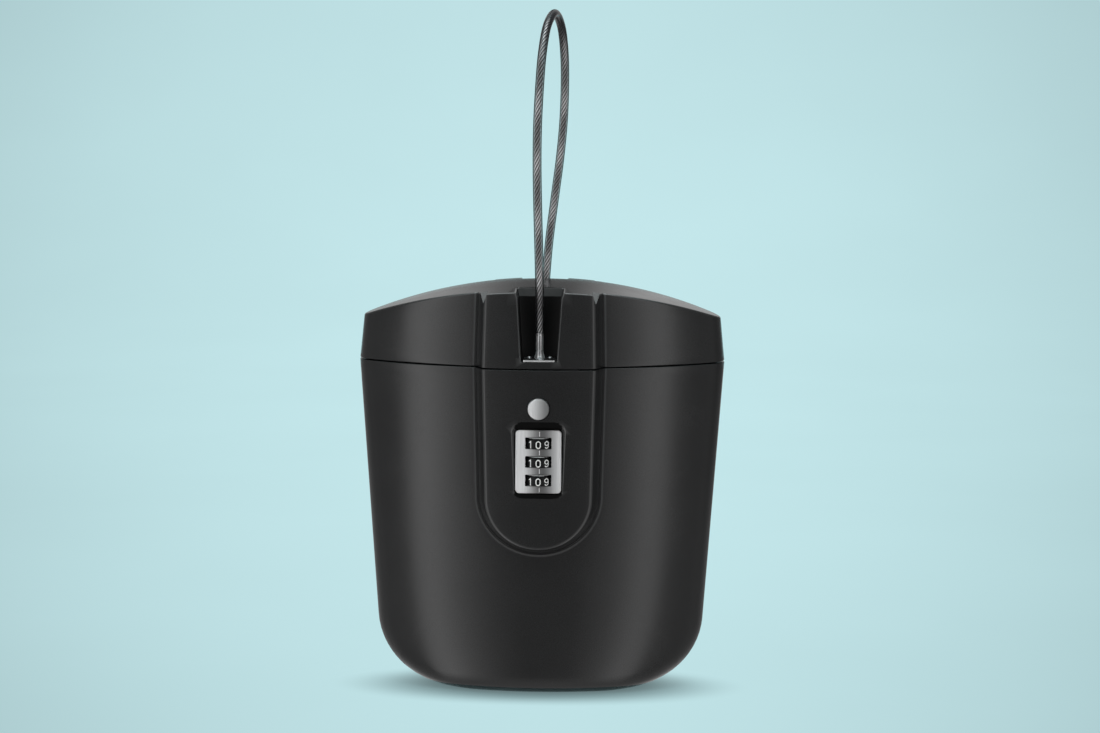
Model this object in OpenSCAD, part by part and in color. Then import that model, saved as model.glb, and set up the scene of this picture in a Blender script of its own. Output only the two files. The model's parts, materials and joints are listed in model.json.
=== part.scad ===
// Travel safe: an oval tub with a hinged lid, a three-dial push lock on a raised front panel, and a
// steel cable loop that ties the safe to something fixed. Millimetres; front is -Y, up is +Z, the
// origin is the middle of the base.

/* [Case] */
// Width over the ends at the parting line
case_width = 174; // [164:1:184]
// Half of the depth in the middle, without the raised panels
half_depth = 37.5; // [35:0.5:41]
// Radius of the rounded ends, seen from above
end_r = 14.4; // [12:0.2:17]
// Height of the tub's rim
rim_z = 156; // [146:1:168]
// Draft of the two ends, sideways per millimetre of height
end_draft = 0.07; // [0.04:0.005:0.1]
// Draft of the front and back walls
face_draft = 0.035; // [0.02:0.005:0.05]
// Radius of the tub's lower corners, seen from the front
corner_r = 34; // [28:1:40]
// Radius of the edge around the base
foot_r = 7; // [5.5:0.5:8]
// Wall thickness of the tub
wall = 3.5; // [2.5:0.1:4.2]

/* [Lid] */
// Height of the crown above the rim
lid_rise = 37.2; // [34:0.2:42]
// Inward lean of the lid's walls per millimetre of height
lid_lean = 0.1; // [0.06:0.01:0.13]
// Radius of the crown from end to end
crown_r = 235; // [210:1:280]
// Radius of the crown from front to back
dome_r = 600; // [450:10:900]
// Wall thickness of the lid
lid_wall = 3.2; // [2.4:0.1:4]
// Gap along the parting line
parting_gap = 0.6; // [0.4:0.1:1]
// Thickness of the liner plate under the lid
liner_t = 1.6; // [1.2:0.1:2]

/* [Raised panel] */
// How far the panel stands off the bowed wall
panel_proud = 7.5; // [6:0.5:9]
// Half width of the panel's face at the parting line
panel_half = 25.1; // [23:0.1:27]
// How much narrower the panel gets on each side per millimetre away from the parting line
panel_taper = 0.02; // [0:0.005:0.04]
// Sideways slope of the panel's edge per millimetre of depth
panel_slope = 0.42; // [0.3:0.02:0.6]
// Height of the bottom of the panel's face
panel_foot_z = 72; // [64:1:80]

/* [Cable recess] */
// Half width of the recess at its floor
recess_low = 8.3; // [7.9:0.1:9]
// Half width of the recess at the crown
recess_high = 10.4; // [9.6:0.1:11]
// Depth of the recess from the panel's face
recess_depth = 17; // [15:0.5:19]
// Height of the recess floor above the rim
recess_floor = 3.6; // [3.4:0.1:4.4]
// Thickness of the recess floor
floor_t = 1.6; // [1.2:0.1:1.8]

/* [Hinge] */
// Distance of the hinge axis behind the rear panel
hinge_out = 3; // [2.6:0.1:3.6]
// Outer radius of the hinge barrel
barrel_r = 3.5; // [3.1:0.1:3.9]
// Radius of the hinge pin
hinge_pin_r = 1.5; // [1.2:0.1:1.8]
// Length of the middle knuckle
knuckle_mid = 22; // [18:1:24]
// Length of each lid knuckle
knuckle_lid = 9; // [7:0.5:10]
// Length of each end knuckle
knuckle_end = 5.4; // [4:0.2:6]
// Gap between knuckles, and around the barrel
knuckle_gap = 0.4; // [0.3:0.1:0.6]

/* [Dial lock] */
// Width of the lock's face plate
plate_w = 21.4; // [19.6:0.2:22.4]
// Height of the lock's face plate
plate_h = 29.6; // [28:0.2:31]
// Thickness of the face plate
plate_t = 1.2; // [1:0.1:1.5]
// Distance of the plate's middle below the rim
plate_drop = 43; // [41.5:0.5:46]
// How far the plate's face lies behind the panel's face
plate_sink = 1.1; // [0.8:0.1:1.5]
// Radius of a dial
dial_r = 6.6; // [6.2:0.1:7]
// Thickness of a dial
dial_t = 4.9; // [4.4:0.1:5.2]
// Height of the stepped ring over a dial's numbers
dial_step = 1.1; // [0.9:0.1:1.4]
// Spacing of the dials
dial_pitch = 8.7; // [8.5:0.1:9]
// How far a dial stands out of the plate
dial_proud = 1; // [0.7:0.1:1.4]
// Radius of the spindle the dials turn on
spindle_r = 1.5; // [1.2:0.1:1.8]
// Width of a dial window
window_w = 12.2; // [11.4:0.2:13]

/* [Button and latch] */
// Radius of the push button
button_r = 4.9; // [4.4:0.1:5.2]
// How far the button stands out of the panel
button_proud = 1.2; // [1:0.1:2]
// Travel of the button
button_travel = 2.6; // [2.2:0.1:2.6]
// Distance of the button's axis below the rim
button_drop = 18; // [17.6:0.1:18.6]
// Half width of the latch hook
hook_half = 3.6; // [3:0.1:3.9]
// Radius of the latch pivot pin
pivot_r = 1.2; // [1:0.1:1.4]

/* [Cable] */
// Radius of the coated cable
cable_r = 2.05; // [1.6:0.05:2.4]
// Radius of the crimped ferrule
ferrule_r = 1.65; // [1.4:0.05:1.9]
// Height of the ferrule above its collar
ferrule_h = 10.6; // [9:0.2:13]
// Thickness of the steel anchor plates
anchor_t = 1.1; // [0.9:0.1:1.4]
// Distance of the cable's ends behind the panels' faces
anchor_in = 12; // [11:0.2:13]
// Sideways travel of the sliding retainer
retainer_travel = 7; // [6:0.5:7]

/* [Clearances] */
// Gap between a shaft and its hole
shaft_fit = 0.05; // [0.03:0.01:0.09]
// Gap around pieces that sit in pockets
seat_gap = 0.3; // [0.2:0.05:0.4]
// Gap between the button and its hole
button_gap = 0.35; // [0.3:0.05:0.5]

/* [Hidden] */
$fn = 96;
half_width = case_width / 2;
bow_y = (pow(half_width - end_r, 2) - pow(half_depth - end_r, 2)) / (2 * (half_depth - end_r));
bow_r = half_depth + bow_y;
panel_y = half_depth + panel_proud;
end_tilt = atan(end_draft);
face_tilt = atan(face_draft);
corner_x = half_width - end_draft * (rim_z - corner_r) - corner_r / cos(end_tilt);
foot_y = half_depth - face_draft * (rim_z - foot_r) - foot_r / cos(face_tilt);
lid_z = rim_z + parting_gap;
crown_z = rim_z + lid_rise;
hinge_y = panel_y + hinge_out;
hollow_half = panel_half - 4.5;
wedge_out = 6;
wedge_in = 12;
crown_over = 8;
web_h = 10;
u_r = (panel_half - panel_taper * (rim_z - panel_foot_z)) / (1 - panel_taper);
u_centre_z = panel_foot_z + u_r;

// Recess and cable anchors
floor_z = rim_z + recess_floor;
recess_y = panel_y - recess_depth;
anchor_y = panel_y - anchor_in;
block_half = recess_high + 2.3;
anchor_z = floor_z + anchor_t;
anchor_half = recess_low - 1.05;
rivet_x = 4.9;
collar_h = 1;
ferrule_z = anchor_z + collar_h + ferrule_h;
liner_z = lid_z - liner_t;
neck_r = 0.9;
retainer_t = floor_z - floor_t - lid_z - 0.4;
retainer_z = lid_z + 0.2;

// Lock
plate_z = rim_z - plate_drop;
plate_y = -(panel_y - face_draft * plate_drop) + plate_sink;
pocket_y = plate_y + plate_t;
lock_y = pocket_y + 1.8;
dial_y = plate_y - dial_proud + dial_r;
dial_z = [plate_z + dial_pitch, plate_z, plate_z - dial_pitch];
lock_back_y = dial_y + dial_r + 3.2;
ring_r = dial_r - 0.7;
nib_r = 0.35;
nib_y = dial_y + ring_r + nib_r + seat_gap;
cover_t = 1.6;
lock_half = 19;
lock_below = 19.5;
lock_above = 18.5;
lock_low_z = plate_z - lock_below;
lock_high_z = plate_z + lock_above;
chamber_half = dial_r + 0.8;
chamber_h = dial_t + 0.9;
screw_in = 4.5;
screw_r = 1.1;
screw_head_r = 2;
screw_head_h = 1.2;
screw_x = lock_half - 2.5;
screw_z = [lock_low_z + screw_in, lock_high_z - screw_in];

// Button and latch
button_z = rim_z - button_drop;
button_y = -(panel_y - face_draft * button_drop) - button_proud;
well_y = -(panel_y - face_draft * button_drop) + 2.9;
flange_y = well_y + seat_gap;
flange_t = 1.2;
flange_r = button_r + 1.3;
well_z = button_z - flange_r - 0.5;
stem_r = 2;
guide_y = flange_y + flange_t + 4.7;
guide_t = 1;
stem_y = guide_y + guide_t + 0.8;
pivot_y = stem_y + 3;
pivot_z = button_z + 5.5;
keeper_y = pivot_y - 2.7;
keeper_t = 1.5;
guide_top_z = button_z + 3.8;
ear_top_z = pivot_z + 3.5;
leaf_half = 2.4;
leaf_in = 5;
slot_low = 2.1;
slot_high = 8.5;
ear_half = 7;
ear_cover_half = 9;

// Screws under the lid
liner_screw_in = 25;
liner_screw_x = half_width - liner_screw_in;
liner_screw_y = 9;
liner_screw_r = 1.25;
liner_screw_l = 9.5;
liner_head_r = 2.4;
liner_head_h = 1.2;
liner_boss_r = 3.4;
keeper_half = lock_half - 1;
keeper_tab_half = 5.5;
keeper_screw_x = lock_half - 4.5;
keeper_screw_y = -panel_y + 6.6;
keeper_screw_r = 1;
keeper_screw_l = 10.5;
keeper_head_r = 1.9;
keeper_head_h = 1.1;
keeper_boss_r = 2.8;
keeper_boss_h = 16;
retainer_half = 2.2;
retainer_x = [-17.2, 5.2];
knob_x = -15.2;
knob_r = 1.4;

// Cable route: sideways offset, place between the ends (-1 front, 1 back), height over the ferrule
cable_route = [
    [0, -1, 0], [0, -1, 6], [-0.2, -1.02, 20], [-0.6, -1.06, 38], [-1.2, -1.1, 58], [-1.6, -1.12, 78],
    [-1.5, -1.1, 96], [-0.8, -1.02, 113.4], [0.2, -0.84, 128.9], [2, -0.5, 141.5], [5, 0, 147.3],
    [7.6, 0.5, 141.5], [8.9, 0.84, 128.9], [9.1, 1.02, 113.4], [8.5, 1.1, 96], [6.9, 1.12, 78],
    [4.4, 1.1, 58], [2, 1.06, 38], [0.6, 1.02, 20], [0, 1, 6], [0, 1, 0]];
cable_sides = 10;
spring_wire_r = 0.3;
spring_r = 3.1;
spring_turns = 3.5;

// An oval of four tangent arcs: half width w, half depth d, bow centres k off the middle
function oval(w, d, k) = let(
    R = d + k,
    r = (2 * R * d - d * d - w * w) / (2 * (R - w)),
    c = w - r,
    f = atan2(c, k),
    nb = 20,
    ne = 12)
    concat(
        [for (i = [0:nb - 1]) let(a = -f + 2 * f * i / nb) [R * sin(a), k - R * cos(a)]],
        [for (i = [0:ne - 1]) let(a = f - 90 + (180 - 2 * f) * i / ne) [c + r * cos(a), r * sin(a)]],
        [for (i = [0:nb - 1]) let(a = f - 2 * f * i / nb) [R * sin(a), R * cos(a) - k]],
        [for (i = [0:ne - 1]) let(a = f + 90 + (180 - 2 * f) * i / ne)
            [r * cos(a) - c, r * sin(a)]]);

function ring(w, d, k, z) = [for (p = oval(w, d, k)) [p[0], p[1], z]];

// Half width and half depth of the tub at a height, moved inwards by t
function tub_w(z, t) = z >= corner_r - (corner_r - t) * sin(end_tilt)
    ? half_width - end_draft * (rim_z - z) - t / cos(end_tilt)
    : corner_x + sqrt(max(0, pow(corner_r - t, 2) - pow(corner_r - z, 2)));
function tub_d(z, t) = z >= foot_r - (foot_r - t) * sin(face_tilt)
    ? half_depth - face_draft * (rim_z - z) - t / cos(face_tilt)
    : foot_y + sqrt(max(0, pow(foot_r - t, 2) - pow(foot_r - z, 2)));
function tub_levels(t) = concat(
    [for (a = [0, 22, 42, 60, 75, 87]) foot_r - (foot_r - t) * cos(a)],
    [for (a = [44, 52, 60, 68, 76, 86]) corner_r - (corner_r - t) * cos(a)]);

function unit(v) = v / norm(v);
function spline(p, i, t) = let(
    a = p[max(i - 1, 0)], b = p[i], c = p[i + 1], d = p[min(i + 2, len(p) - 1)])
    0.5 * (2 * b + (c - a) * t + (2 * a - 5 * b + 4 * c - d) * t * t + (3 * b - a - 3 * c + d) * t * t * t);
function tube_ring(centre, along, r, sides, ref) = let(u = unit(cross(along, ref)), v = cross(u, along))
    [for (s = [0:sides - 1]) centre + r * (cos(360 * s / sides) * u + sin(360 * s / sides) * v)];

// Skin over a list of rings with the same number of points
module loft(rings) {
    n = len(rings[0]);
    m = len(rings);
    points = [for (r = rings) for (p = r) p];
    sides = [for (i = [0:m - 2]) for (j = [0:n - 1]) let(
        a = i * n + j, b = i * n + (j + 1) % n)
        each [[a, a + n, b + n], [a, b + n, b]]];
    low = [for (j = [0:n - 1]) j];
    high = [for (j = [0:n - 1]) m * n - 1 - j];
    polyhedron(points = points, faces = concat(sides, [low, high]), convexity = 6);
}

module along_x(x0, x1) {
    translate([x0, 0, 0]) rotate([90, 0, 90]) linear_extrude(x1 - x0) children();
}

module along_y(y0, y1) {
    translate([0, y1, 0]) rotate([90, 0, 0]) linear_extrude(y1 - y0) children();
}

module rod_x(x0, x1, y, z, r) {
    translate([x0, y, z]) rotate([0, 90, 0]) cylinder(h = x1 - x0, r = r);
}

module rod_y(y0, y1, x, z, r) {
    translate([x, y0, z]) rotate([-90, 0, 0]) cylinder(h = y1 - y0, r = r);
}

module rod_z(z0, z1, x, y, r) {
    translate([x, y, z0]) cylinder(h = z1 - z0, r = r);
}

module box(x0, x1, y0, y1, z0, z1) {
    translate([x0, y0, z0]) cube([x1 - x0, y1 - y0, z1 - z0]);
}

module rounded(w, h, r) {
    square([w - 2 * r, h], center = true);
    square([w, h - 2 * r], center = true);
    for (i = [-1, 1], j = [-1, 1]) translate([i * (w / 2 - r), j * (h / 2 - r)]) circle(r);
}

// Wedge of the raised panel from z0 to z1, wider towards the wall; half is half the width of its face at a
// height and back is how far that face lies behind panel_y there
module panel_wedge(z0, half0, back0, z1, half1, back1) {
    hull() {
        for (y = [-panel_y - wedge_out, -half_depth + wedge_in]) {
            low = half0 + panel_slope * (y + panel_y - back0);
            high = half1 + panel_slope * (y + panel_y - back1);
            along_y(y, y + 0.01) {
                polygon([[-low, z0], [low, z0], [high, z1], [-high, z1]]);
                if (z0 < rim_z) translate([0, z0]) circle(low, $fn = 72);
            }
        }
    }
}

module tub_panel() {
    intersection() {
        translate([0, bow_y, 0]) cylinder(
            h = rim_z, r1 = bow_r + panel_proud - face_draft * rim_z, r2 = bow_r + panel_proud);
        panel_wedge(u_centre_z, u_r, face_draft * (rim_z - u_centre_z), rim_z, panel_half, 0);
    }
}

module lid_panel() {
    rise = lid_rise + crown_over;
    intersection() {
        translate([0, bow_y, lid_z]) cylinder(
            h = rise, r1 = bow_r + panel_proud - lid_lean * parting_gap,
            r2 = bow_r + panel_proud - lid_lean * (parting_gap + rise));
        panel_wedge(lid_z, panel_half, 0, lid_z + rise, panel_half - panel_taper * rise, lid_lean * rise);
    }
}

// Everything under the doubly curved crown, moved inwards by t
module under_crown(t) {
    translate([0, 0, crown_z - crown_r]) rotate([-90, 0, 0]) rotate_extrude() intersection() {
        translate([crown_r - dome_r, 0]) circle(dome_r - t, $fn = 180);
        translate([0, -2 * half_depth]) square([crown_r + wall, 4 * half_depth]);
    }
}

module tub_solid(t) {
    levels = concat(tub_levels(t), [rim_z]);
    base = [for (z = levels) ring(tub_w(z, t), tub_d(z, t), bow_y, z)];
    top = t > 0 ? [ring(tub_w(rim_z, t), tub_d(rim_z, t), bow_y, rim_z + 2)] : [];
    loft(concat(base, top));
}

module lid_solid(t) {
    levels = [lid_z - (t > 0 ? 1 : 0), crown_z + 6];
    loft([for (z = levels) let(h = lid_lean * (z - rim_z) + t)
        ring(half_width - h, half_depth - h, bow_y, z)]);
}

// The two kinds of hinge knuckle, with the web that carries each
module tub_knuckle(x0, x1, root) {
    rod_x(x0, x1, hinge_y, rim_z, barrel_r);
    along_x(x0, x1) polygon([[root, rim_z], [root, rim_z - web_h], [panel_y - 1, rim_z - web_h],
        [hinge_y + barrel_r * 0.8, rim_z - barrel_r * 0.6], [hinge_y, rim_z]]);
}

module lid_knuckle(x0, x1) {
    root = panel_y - lid_wall + 0.4;
    rod_x(x0, x1, hinge_y, rim_z, barrel_r);
    along_x(x0, x1) polygon([[root, lid_z + 0.3], [hinge_y, lid_z + 0.3],
        [hinge_y + barrel_r * 0.8, rim_z + barrel_r * 0.6], [panel_y - 1.4, lid_z + web_h], [root, lid_z + web_h]]);
}

module both_sides() {
    children();
    mirror([1, 0, 0]) children();
}

mid_x = knuckle_mid / 2;
lid_x0 = mid_x + knuckle_gap;
lid_x1 = lid_x0 + knuckle_lid;
end_x0 = lid_x1 + knuckle_gap;
end_x1 = end_x0 + knuckle_end;

module body_shell() {
    color("#333639") difference() {
        union() {
            difference() {
                union() {
                    tub_solid(0);
                    tub_panel();
                    mirror([0, 1, 0]) tub_panel();
                }
                tub_solid(wall);
                // Hollow behind the rear panel
                intersection() {
                    translate([0, -bow_y, 0]) cylinder(
                        h = rim_z + 1, r1 = bow_r + panel_proud - wall - face_draft * rim_z,
                        r2 = bow_r + panel_proud - wall);
                    box(-hollow_half, hollow_half, half_depth - wall - 6, panel_y, u_centre_z, rim_z + 1);
                }
                // Wells for the lock, the button and the keeper
                box(-lock_half - 0.4, lock_half + 0.4, lock_y, -half_depth / 2, lock_low_z - 1, well_z + 0.1);
                box(-lock_half - 0.4, lock_half + 0.4, well_y, -half_depth / 2, well_z, rim_z + 1);
                // Sloped pocket of the face plate
                hull() {
                    for (s = [0, 4.8]) along_y(pocket_y - s - 0.01, pocket_y - s)
                        rounded_at(plate_w + 2 * seat_gap + 1.46 * s, plate_h + 2 * seat_gap + 2.32 * s);
                }
                box(-chamber_half, chamber_half, pocket_y - 1, lock_y + 1,
                    plate_z - dial_pitch - chamber_h / 2, plate_z + dial_pitch + chamber_h / 2);
                rod_y(button_y - 1, well_y + 1, 0, button_z, button_r + button_gap);
                for (x = [-screw_x, screw_x], z = screw_z)
                    rod_y(lock_y - 1.5, lock_y + 1, x, z, screw_r + shaft_fit);
                // Room for the lid's knuckles
                both_sides() rod_x(lid_x0 - knuckle_gap, lid_x1 + knuckle_gap, hinge_y, rim_z,
                    barrel_r + knuckle_gap);
            }
            tub_knuckle(-mid_x, mid_x, panel_y - wall + 0.6);
            both_sides() tub_knuckle(end_x0, end_x1, half_depth + 1);
        }
        rod_x(-end_x1 - 1, end_x1 + 1, hinge_y, rim_z, hinge_pin_r + shaft_fit);
    }
}

module rounded_at(w, h) {
    translate([0, plate_z]) rounded(w, h, 2, $fn = 24);
}

module lid_bosses() {
    liner_screws() rod_z(lid_z, crown_z, 0, 0, liner_boss_r);
    keeper_screw_places() rod_z(lid_z, lid_z + keeper_boss_h, 0, 0, keeper_boss_r);
}

module liner_screws() {
    for (x = [-liner_screw_x, liner_screw_x], y = [-liner_screw_y, liner_screw_y])
        translate([x, y, 0]) children();
}

module keeper_screw_places() {
    for (x = [-keeper_screw_x, keeper_screw_x]) translate([x, keeper_screw_y, 0]) children();
}

module lid_hollow() {
    difference() {
        intersection() {
            union() {
                lid_solid(lid_wall);
                for (m = [0, 1]) mirror([0, m, 0]) intersection() {
                    translate([0, bow_y, lid_z - 1]) cylinder(
                        h = lid_rise + 8, r1 = bow_r + panel_proud - lid_wall,
                        r2 = bow_r + panel_proud - lid_wall - lid_lean * (lid_rise + 8));
                    box(-hollow_half, hollow_half, -panel_y, -half_depth + lid_wall + 7, lid_z - 1, crown_z);
                }
            }
            under_crown(lid_wall);
        }
        for (m = [0, 1]) mirror([0, m, 0])
            box(-block_half, block_half, -panel_y - 1, -recess_y + 6, floor_z - floor_t, crown_z + 1);
        lid_bosses();
    }
}

module recess_cut() {
    slope = (recess_high - recess_low) / (lid_rise - recess_floor);
    over = crown_z + 6 - floor_z;
    intersection() {
        along_x(-block_half, block_half) polygon([[-panel_y - 3, floor_z], [-recess_y - 0.8, floor_z],
            [-recess_y, crown_z - 4.4], [-recess_y + 3.4, crown_z - 0.4], [-recess_y + 3.4, crown_z + 6],
            [-panel_y - 3, crown_z + 6]]);
        along_y(-panel_y - 4, -recess_y + 5) polygon([[-recess_low, floor_z], [recess_low, floor_z],
            [recess_low + slope * over, crown_z + 6], [-recess_low - slope * over, crown_z + 6]]);
    }
}

module lid_shell() {
    color("#333639") difference() {
        union() {
            difference() {
                intersection() {
                    union() {
                        lid_solid(0);
                        lid_panel();
                        mirror([0, 1, 0]) lid_panel();
                    }
                    under_crown(0);
                }
                lid_hollow();
                recess_cut();
                mirror([0, 1, 0]) recess_cut();
                // Room for the tub's knuckles
                rod_x(-mid_x - knuckle_gap, mid_x + knuckle_gap, hinge_y, rim_z, barrel_r + knuckle_gap);
                both_sides() rod_x(end_x0 - knuckle_gap, end_x1 + knuckle_gap, hinge_y, rim_z,
                    barrel_r + knuckle_gap);
                for (y = [-anchor_y, anchor_y]) {
                    rod_z(floor_z - floor_t - 1, floor_z + 1, 0, y, 1.8);
                    for (x = [-rivet_x, rivet_x]) rod_z(floor_z - floor_t - 1, floor_z + 1, x, y, 0.65);
                }
                liner_screws() rod_z(lid_z - 1, lid_z + liner_screw_l + 0.5, 0, 0, liner_screw_r + shaft_fit);
                keeper_screw_places()
                    rod_z(lid_z - 1, lid_z + keeper_screw_l + 0.5, 0, 0, keeper_screw_r + shaft_fit);
            }
            both_sides() lid_knuckle(lid_x0, lid_x1);
        }
        rod_x(-end_x1 - 1, end_x1 + 1, hinge_y, rim_z, hinge_pin_r + shaft_fit);
    }
}

module lid_liner() {
    edge = wall + 0.8;
    slot_half = knob_r + 0.4;
    color("#26282a") difference() {
        translate([0, 0, liner_z]) linear_extrude(liner_t) union() {
            polygon(oval(half_width - edge, half_depth - edge, bow_y));
            translate([-lock_half + 0.4, well_y + 1]) square([2 * lock_half - 0.8, -well_y - 1]);
            translate([-hollow_half + 1.8, 0]) square([2 * hollow_half - 3.6, panel_y - wall - 2.8]);
        }
        rod_z(liner_z - 1, lid_z + 1, 0, -anchor_y, 2.4);
        rod_z(liner_z - 1, lid_z + 1, 0, anchor_y, 4.4);
        box(knob_x - slot_half, knob_x + retainer_travel + slot_half, -anchor_y - slot_half,
            -anchor_y + slot_half, liner_z - 1, lid_z + 1);
        liner_screws() rod_z(liner_z - 1, lid_z + 1, 0, 0, liner_screw_r + shaft_fit);
        keeper_screw_places() rod_z(liner_z - 1, lid_z + 1, 0, 0, keeper_screw_r + shaft_fit);
    }
}

module lid_liner_screws() {
    color("#9a9da0") liner_screws() {
        rod_z(liner_z, lid_z + liner_screw_l, 0, 0, liner_screw_r);
        rod_z(liner_z - liner_head_h, liner_z, 0, 0, liner_head_r);
    }
}

module latch_keeper() {
    front = well_y + 0.7;
    color("#a7aaad") difference() {
        union() {
            box(-keeper_half, keeper_half, front, keeper_y - keeper_t - 0.3, liner_z - keeper_t, liner_z);
            box(-keeper_tab_half, keeper_tab_half, front, keeper_y, liner_z - keeper_t, liner_z);
            box(-keeper_tab_half, keeper_tab_half, keeper_y - keeper_t, keeper_y, pivot_z + 0.5, liner_z);
        }
        box(-hook_half - 0.8, hook_half + 0.8, keeper_y - keeper_t - 1, keeper_y + 1,
            pivot_z + slot_low, pivot_z + slot_high);
        keeper_screw_places()
            rod_z(liner_z - keeper_t - 1, liner_z + 1, 0, 0, keeper_screw_r + shaft_fit);
    }
}

module keeper_screws() {
    color("#9a9da0") keeper_screw_places() {
        rod_z(liner_z - keeper_t, lid_z + keeper_screw_l, 0, 0, keeper_screw_r);
        rod_z(liner_z - keeper_t - keeper_head_h, liner_z - keeper_t, 0, 0, keeper_head_r);
    }
}

module anchor_plate() {
    color("#b4b7ba") difference() {
        box(-anchor_half, anchor_half, -panel_y + 0.8, -recess_y - 1.2, floor_z, anchor_z);
        rod_z(floor_z - 1, anchor_z + 1, 0, -anchor_y, 1.8);
        for (x = [-rivet_x, rivet_x]) rod_z(floor_z - 1, anchor_z + 1, x, -anchor_y, 0.65);
    }
}

module front_anchor_plate() {
    anchor_plate();
}

module rear_anchor_plate() {
    mirror([0, 1, 0]) anchor_plate();
}

module anchor_rivets() {
    color("#8f9295") for (x = [-rivet_x, rivet_x], y = [-anchor_y, anchor_y]) {
        rod_z(floor_z - floor_t, anchor_z, x, y, 0.6);
        rod_z(anchor_z, anchor_z + 0.5, x, y, 1);
    }
}

// Profile of a crimped cable end: ferrule, collar and shank down to a given height
module cable_end(low) {
    rod_z(anchor_z + collar_h, ferrule_z, 0, 0, ferrule_r);
    rod_z(anchor_z, anchor_z + collar_h, 0, 0, ferrule_r + 0.7);
    rod_z(low, anchor_z, 0, 0, 1.5);
}

module cable_stud() {
    color("#a9acae") translate([0, -anchor_y, 0]) {
        cable_end(floor_z - floor_t + 0.1);
        rod_z(lid_z, floor_z - floor_t + 0.1, 0, 0, neck_r);
        rod_z(liner_z + 0.3, lid_z, 0, 0, 1.6);
    }
}

module rear_ferrule() {
    color("#a9acae") translate([0, anchor_y, 0]) cable_end(liner_z + 0.2);
}

module rear_cable_nut() {
    color("#8f9295") translate([0, anchor_y, liner_z + 0.4]) difference() {
        cylinder(h = floor_z - floor_t - liner_z - 0.4, r = 3.46, $fn = 6);
        translate([0, 0, -1]) cylinder(h = 6, r = 1.5 + shaft_fit);
    }
}

module security_cable() {
    path = [for (p = cable_route) [p[0], p[1] * anchor_y, p[2] + ferrule_z]];
    last = len(path) - 1;
    steps = 2;
    inner = [for (i = [0:last - 1]) for (s = [0:steps - 1]) spline(path, i, s / steps)];
    centres = concat(inner, [path[last]]);
    m = len(centres) - 1;
    along = [for (i = [0:m])
        i == 0 ? [0, 0, 1] : i == m ? [0, 0, -1] : unit(centres[i + 1] - centres[i - 1])];
    color("#4a4c4e") loft([for (i = [0:m]) tube_ring(centres[i], along[i], cable_r, cable_sides, [1, 0, 0])]);
}

module cable_retainer() {
    color("#8f9295") {
        difference() {
            box(retainer_x[0], retainer_x[1], -anchor_y - retainer_half, -anchor_y + retainer_half,
                retainer_z, retainer_z + retainer_t);
            rod_z(retainer_z - 1, retainer_z + retainer_t + 1, 0, -anchor_y, neck_r + 0.35);
            box(-retainer_travel, 0, -anchor_y - neck_r - 0.35, -anchor_y + neck_r + 0.35,
                retainer_z - 1, retainer_z + retainer_t + 1);
            rod_z(retainer_z - 1, retainer_z + retainer_t + 1, -retainer_travel, -anchor_y, 1.95);
        }
        rod_z(liner_z - 2, retainer_z + 0.2, knob_x, -anchor_y, knob_r);
    }
}

module lock_faceplate() {
    color("#b9bcbf") difference() {
        along_y(plate_y, pocket_y) translate([0, plate_z]) rounded(plate_w, plate_h, 1.9);
        for (z = dial_z) box(-window_w / 2, window_w / 2, plate_y - 1, pocket_y + 1,
            z - dial_t / 2 - seat_gap, z + dial_t / 2 + seat_gap);
    }
}

module lock_housing() {
    color("#1f2123") difference() {
        union() {
            box(-lock_half, lock_half, lock_y, lock_back_y, lock_low_z, lock_high_z);
            box(-ear_half, ear_half, guide_y, guide_y + guide_t, lock_high_z - 1, guide_top_z);
            for (m = [0, 1]) mirror([m, 0, 0]) {
                box(hook_half + 0.6, ear_half, guide_y, lock_back_y, lock_high_z - 1, guide_top_z);
                box(hook_half + 0.6, ear_half, keeper_y + 0.7, lock_back_y, lock_high_z - 1, ear_top_z);
            }
        }
        for (z = dial_z) box(-chamber_half, chamber_half, lock_y - 1, lock_back_y + 1,
            z - chamber_h / 2, z + chamber_h / 2);
        box(-leaf_half - 1, leaf_half + 1, dial_y + dial_r + 0.1, lock_back_y + 1, lock_low_z + leaf_in - 1,
            lock_high_z - leaf_in + 1);
        for (m = [0, 1]) mirror([m, 0, 0])
            box(chamber_half + 1.8, screw_x - 2.8, lock_y + 1.8, lock_back_y + 1, lock_low_z + 2,
                lock_high_z - 2);
        rod_z(lock_low_z + 1.5, lock_high_z - 1.5, 0, dial_y, spindle_r + shaft_fit);
        for (x = [-screw_x, screw_x], z = screw_z)
            rod_y(lock_y - 1, lock_back_y + 1, x, z, screw_r + shaft_fit);
        rod_y(guide_y - 1, guide_y + guide_t + 1, 0, button_z, stem_r + 0.1);
        rod_x(-ear_half - 1, ear_half + 1, pivot_y, pivot_z, pivot_r + shaft_fit);
    }
}

module lock_rear_cover() {
    color("#1f2123") difference() {
        union() {
            box(-lock_half, lock_half, lock_back_y, lock_back_y + cover_t, lock_low_z, lock_high_z);
            box(-ear_cover_half, ear_cover_half, lock_back_y, lock_back_y + cover_t, lock_high_z - 1,
                ear_top_z);
            box(-leaf_half, leaf_half, dial_y + dial_r + 1.1, lock_back_y + 1, lock_low_z + leaf_in,
                lock_high_z - leaf_in);
        }
        for (x = [-screw_x, screw_x], z = screw_z)
            rod_y(lock_back_y - 1, lock_back_y + cover_t + 1, x, z, screw_r + shaft_fit);
    }
}

module lock_cover_screws() {
    color("#9a9da0") for (x = [-screw_x, screw_x], z = screw_z) {
        rod_y(lock_y - 1.3, lock_back_y + cover_t, x, z, screw_r);
        rod_y(lock_back_y + cover_t, lock_back_y + cover_t + screw_head_h, x, z, screw_head_r);
    }
}

module dial_spindle() {
    color("#9a9da0") rod_z(lock_low_z + 1.5, lock_high_z - 1.5, 0, dial_y, spindle_r);
}

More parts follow.
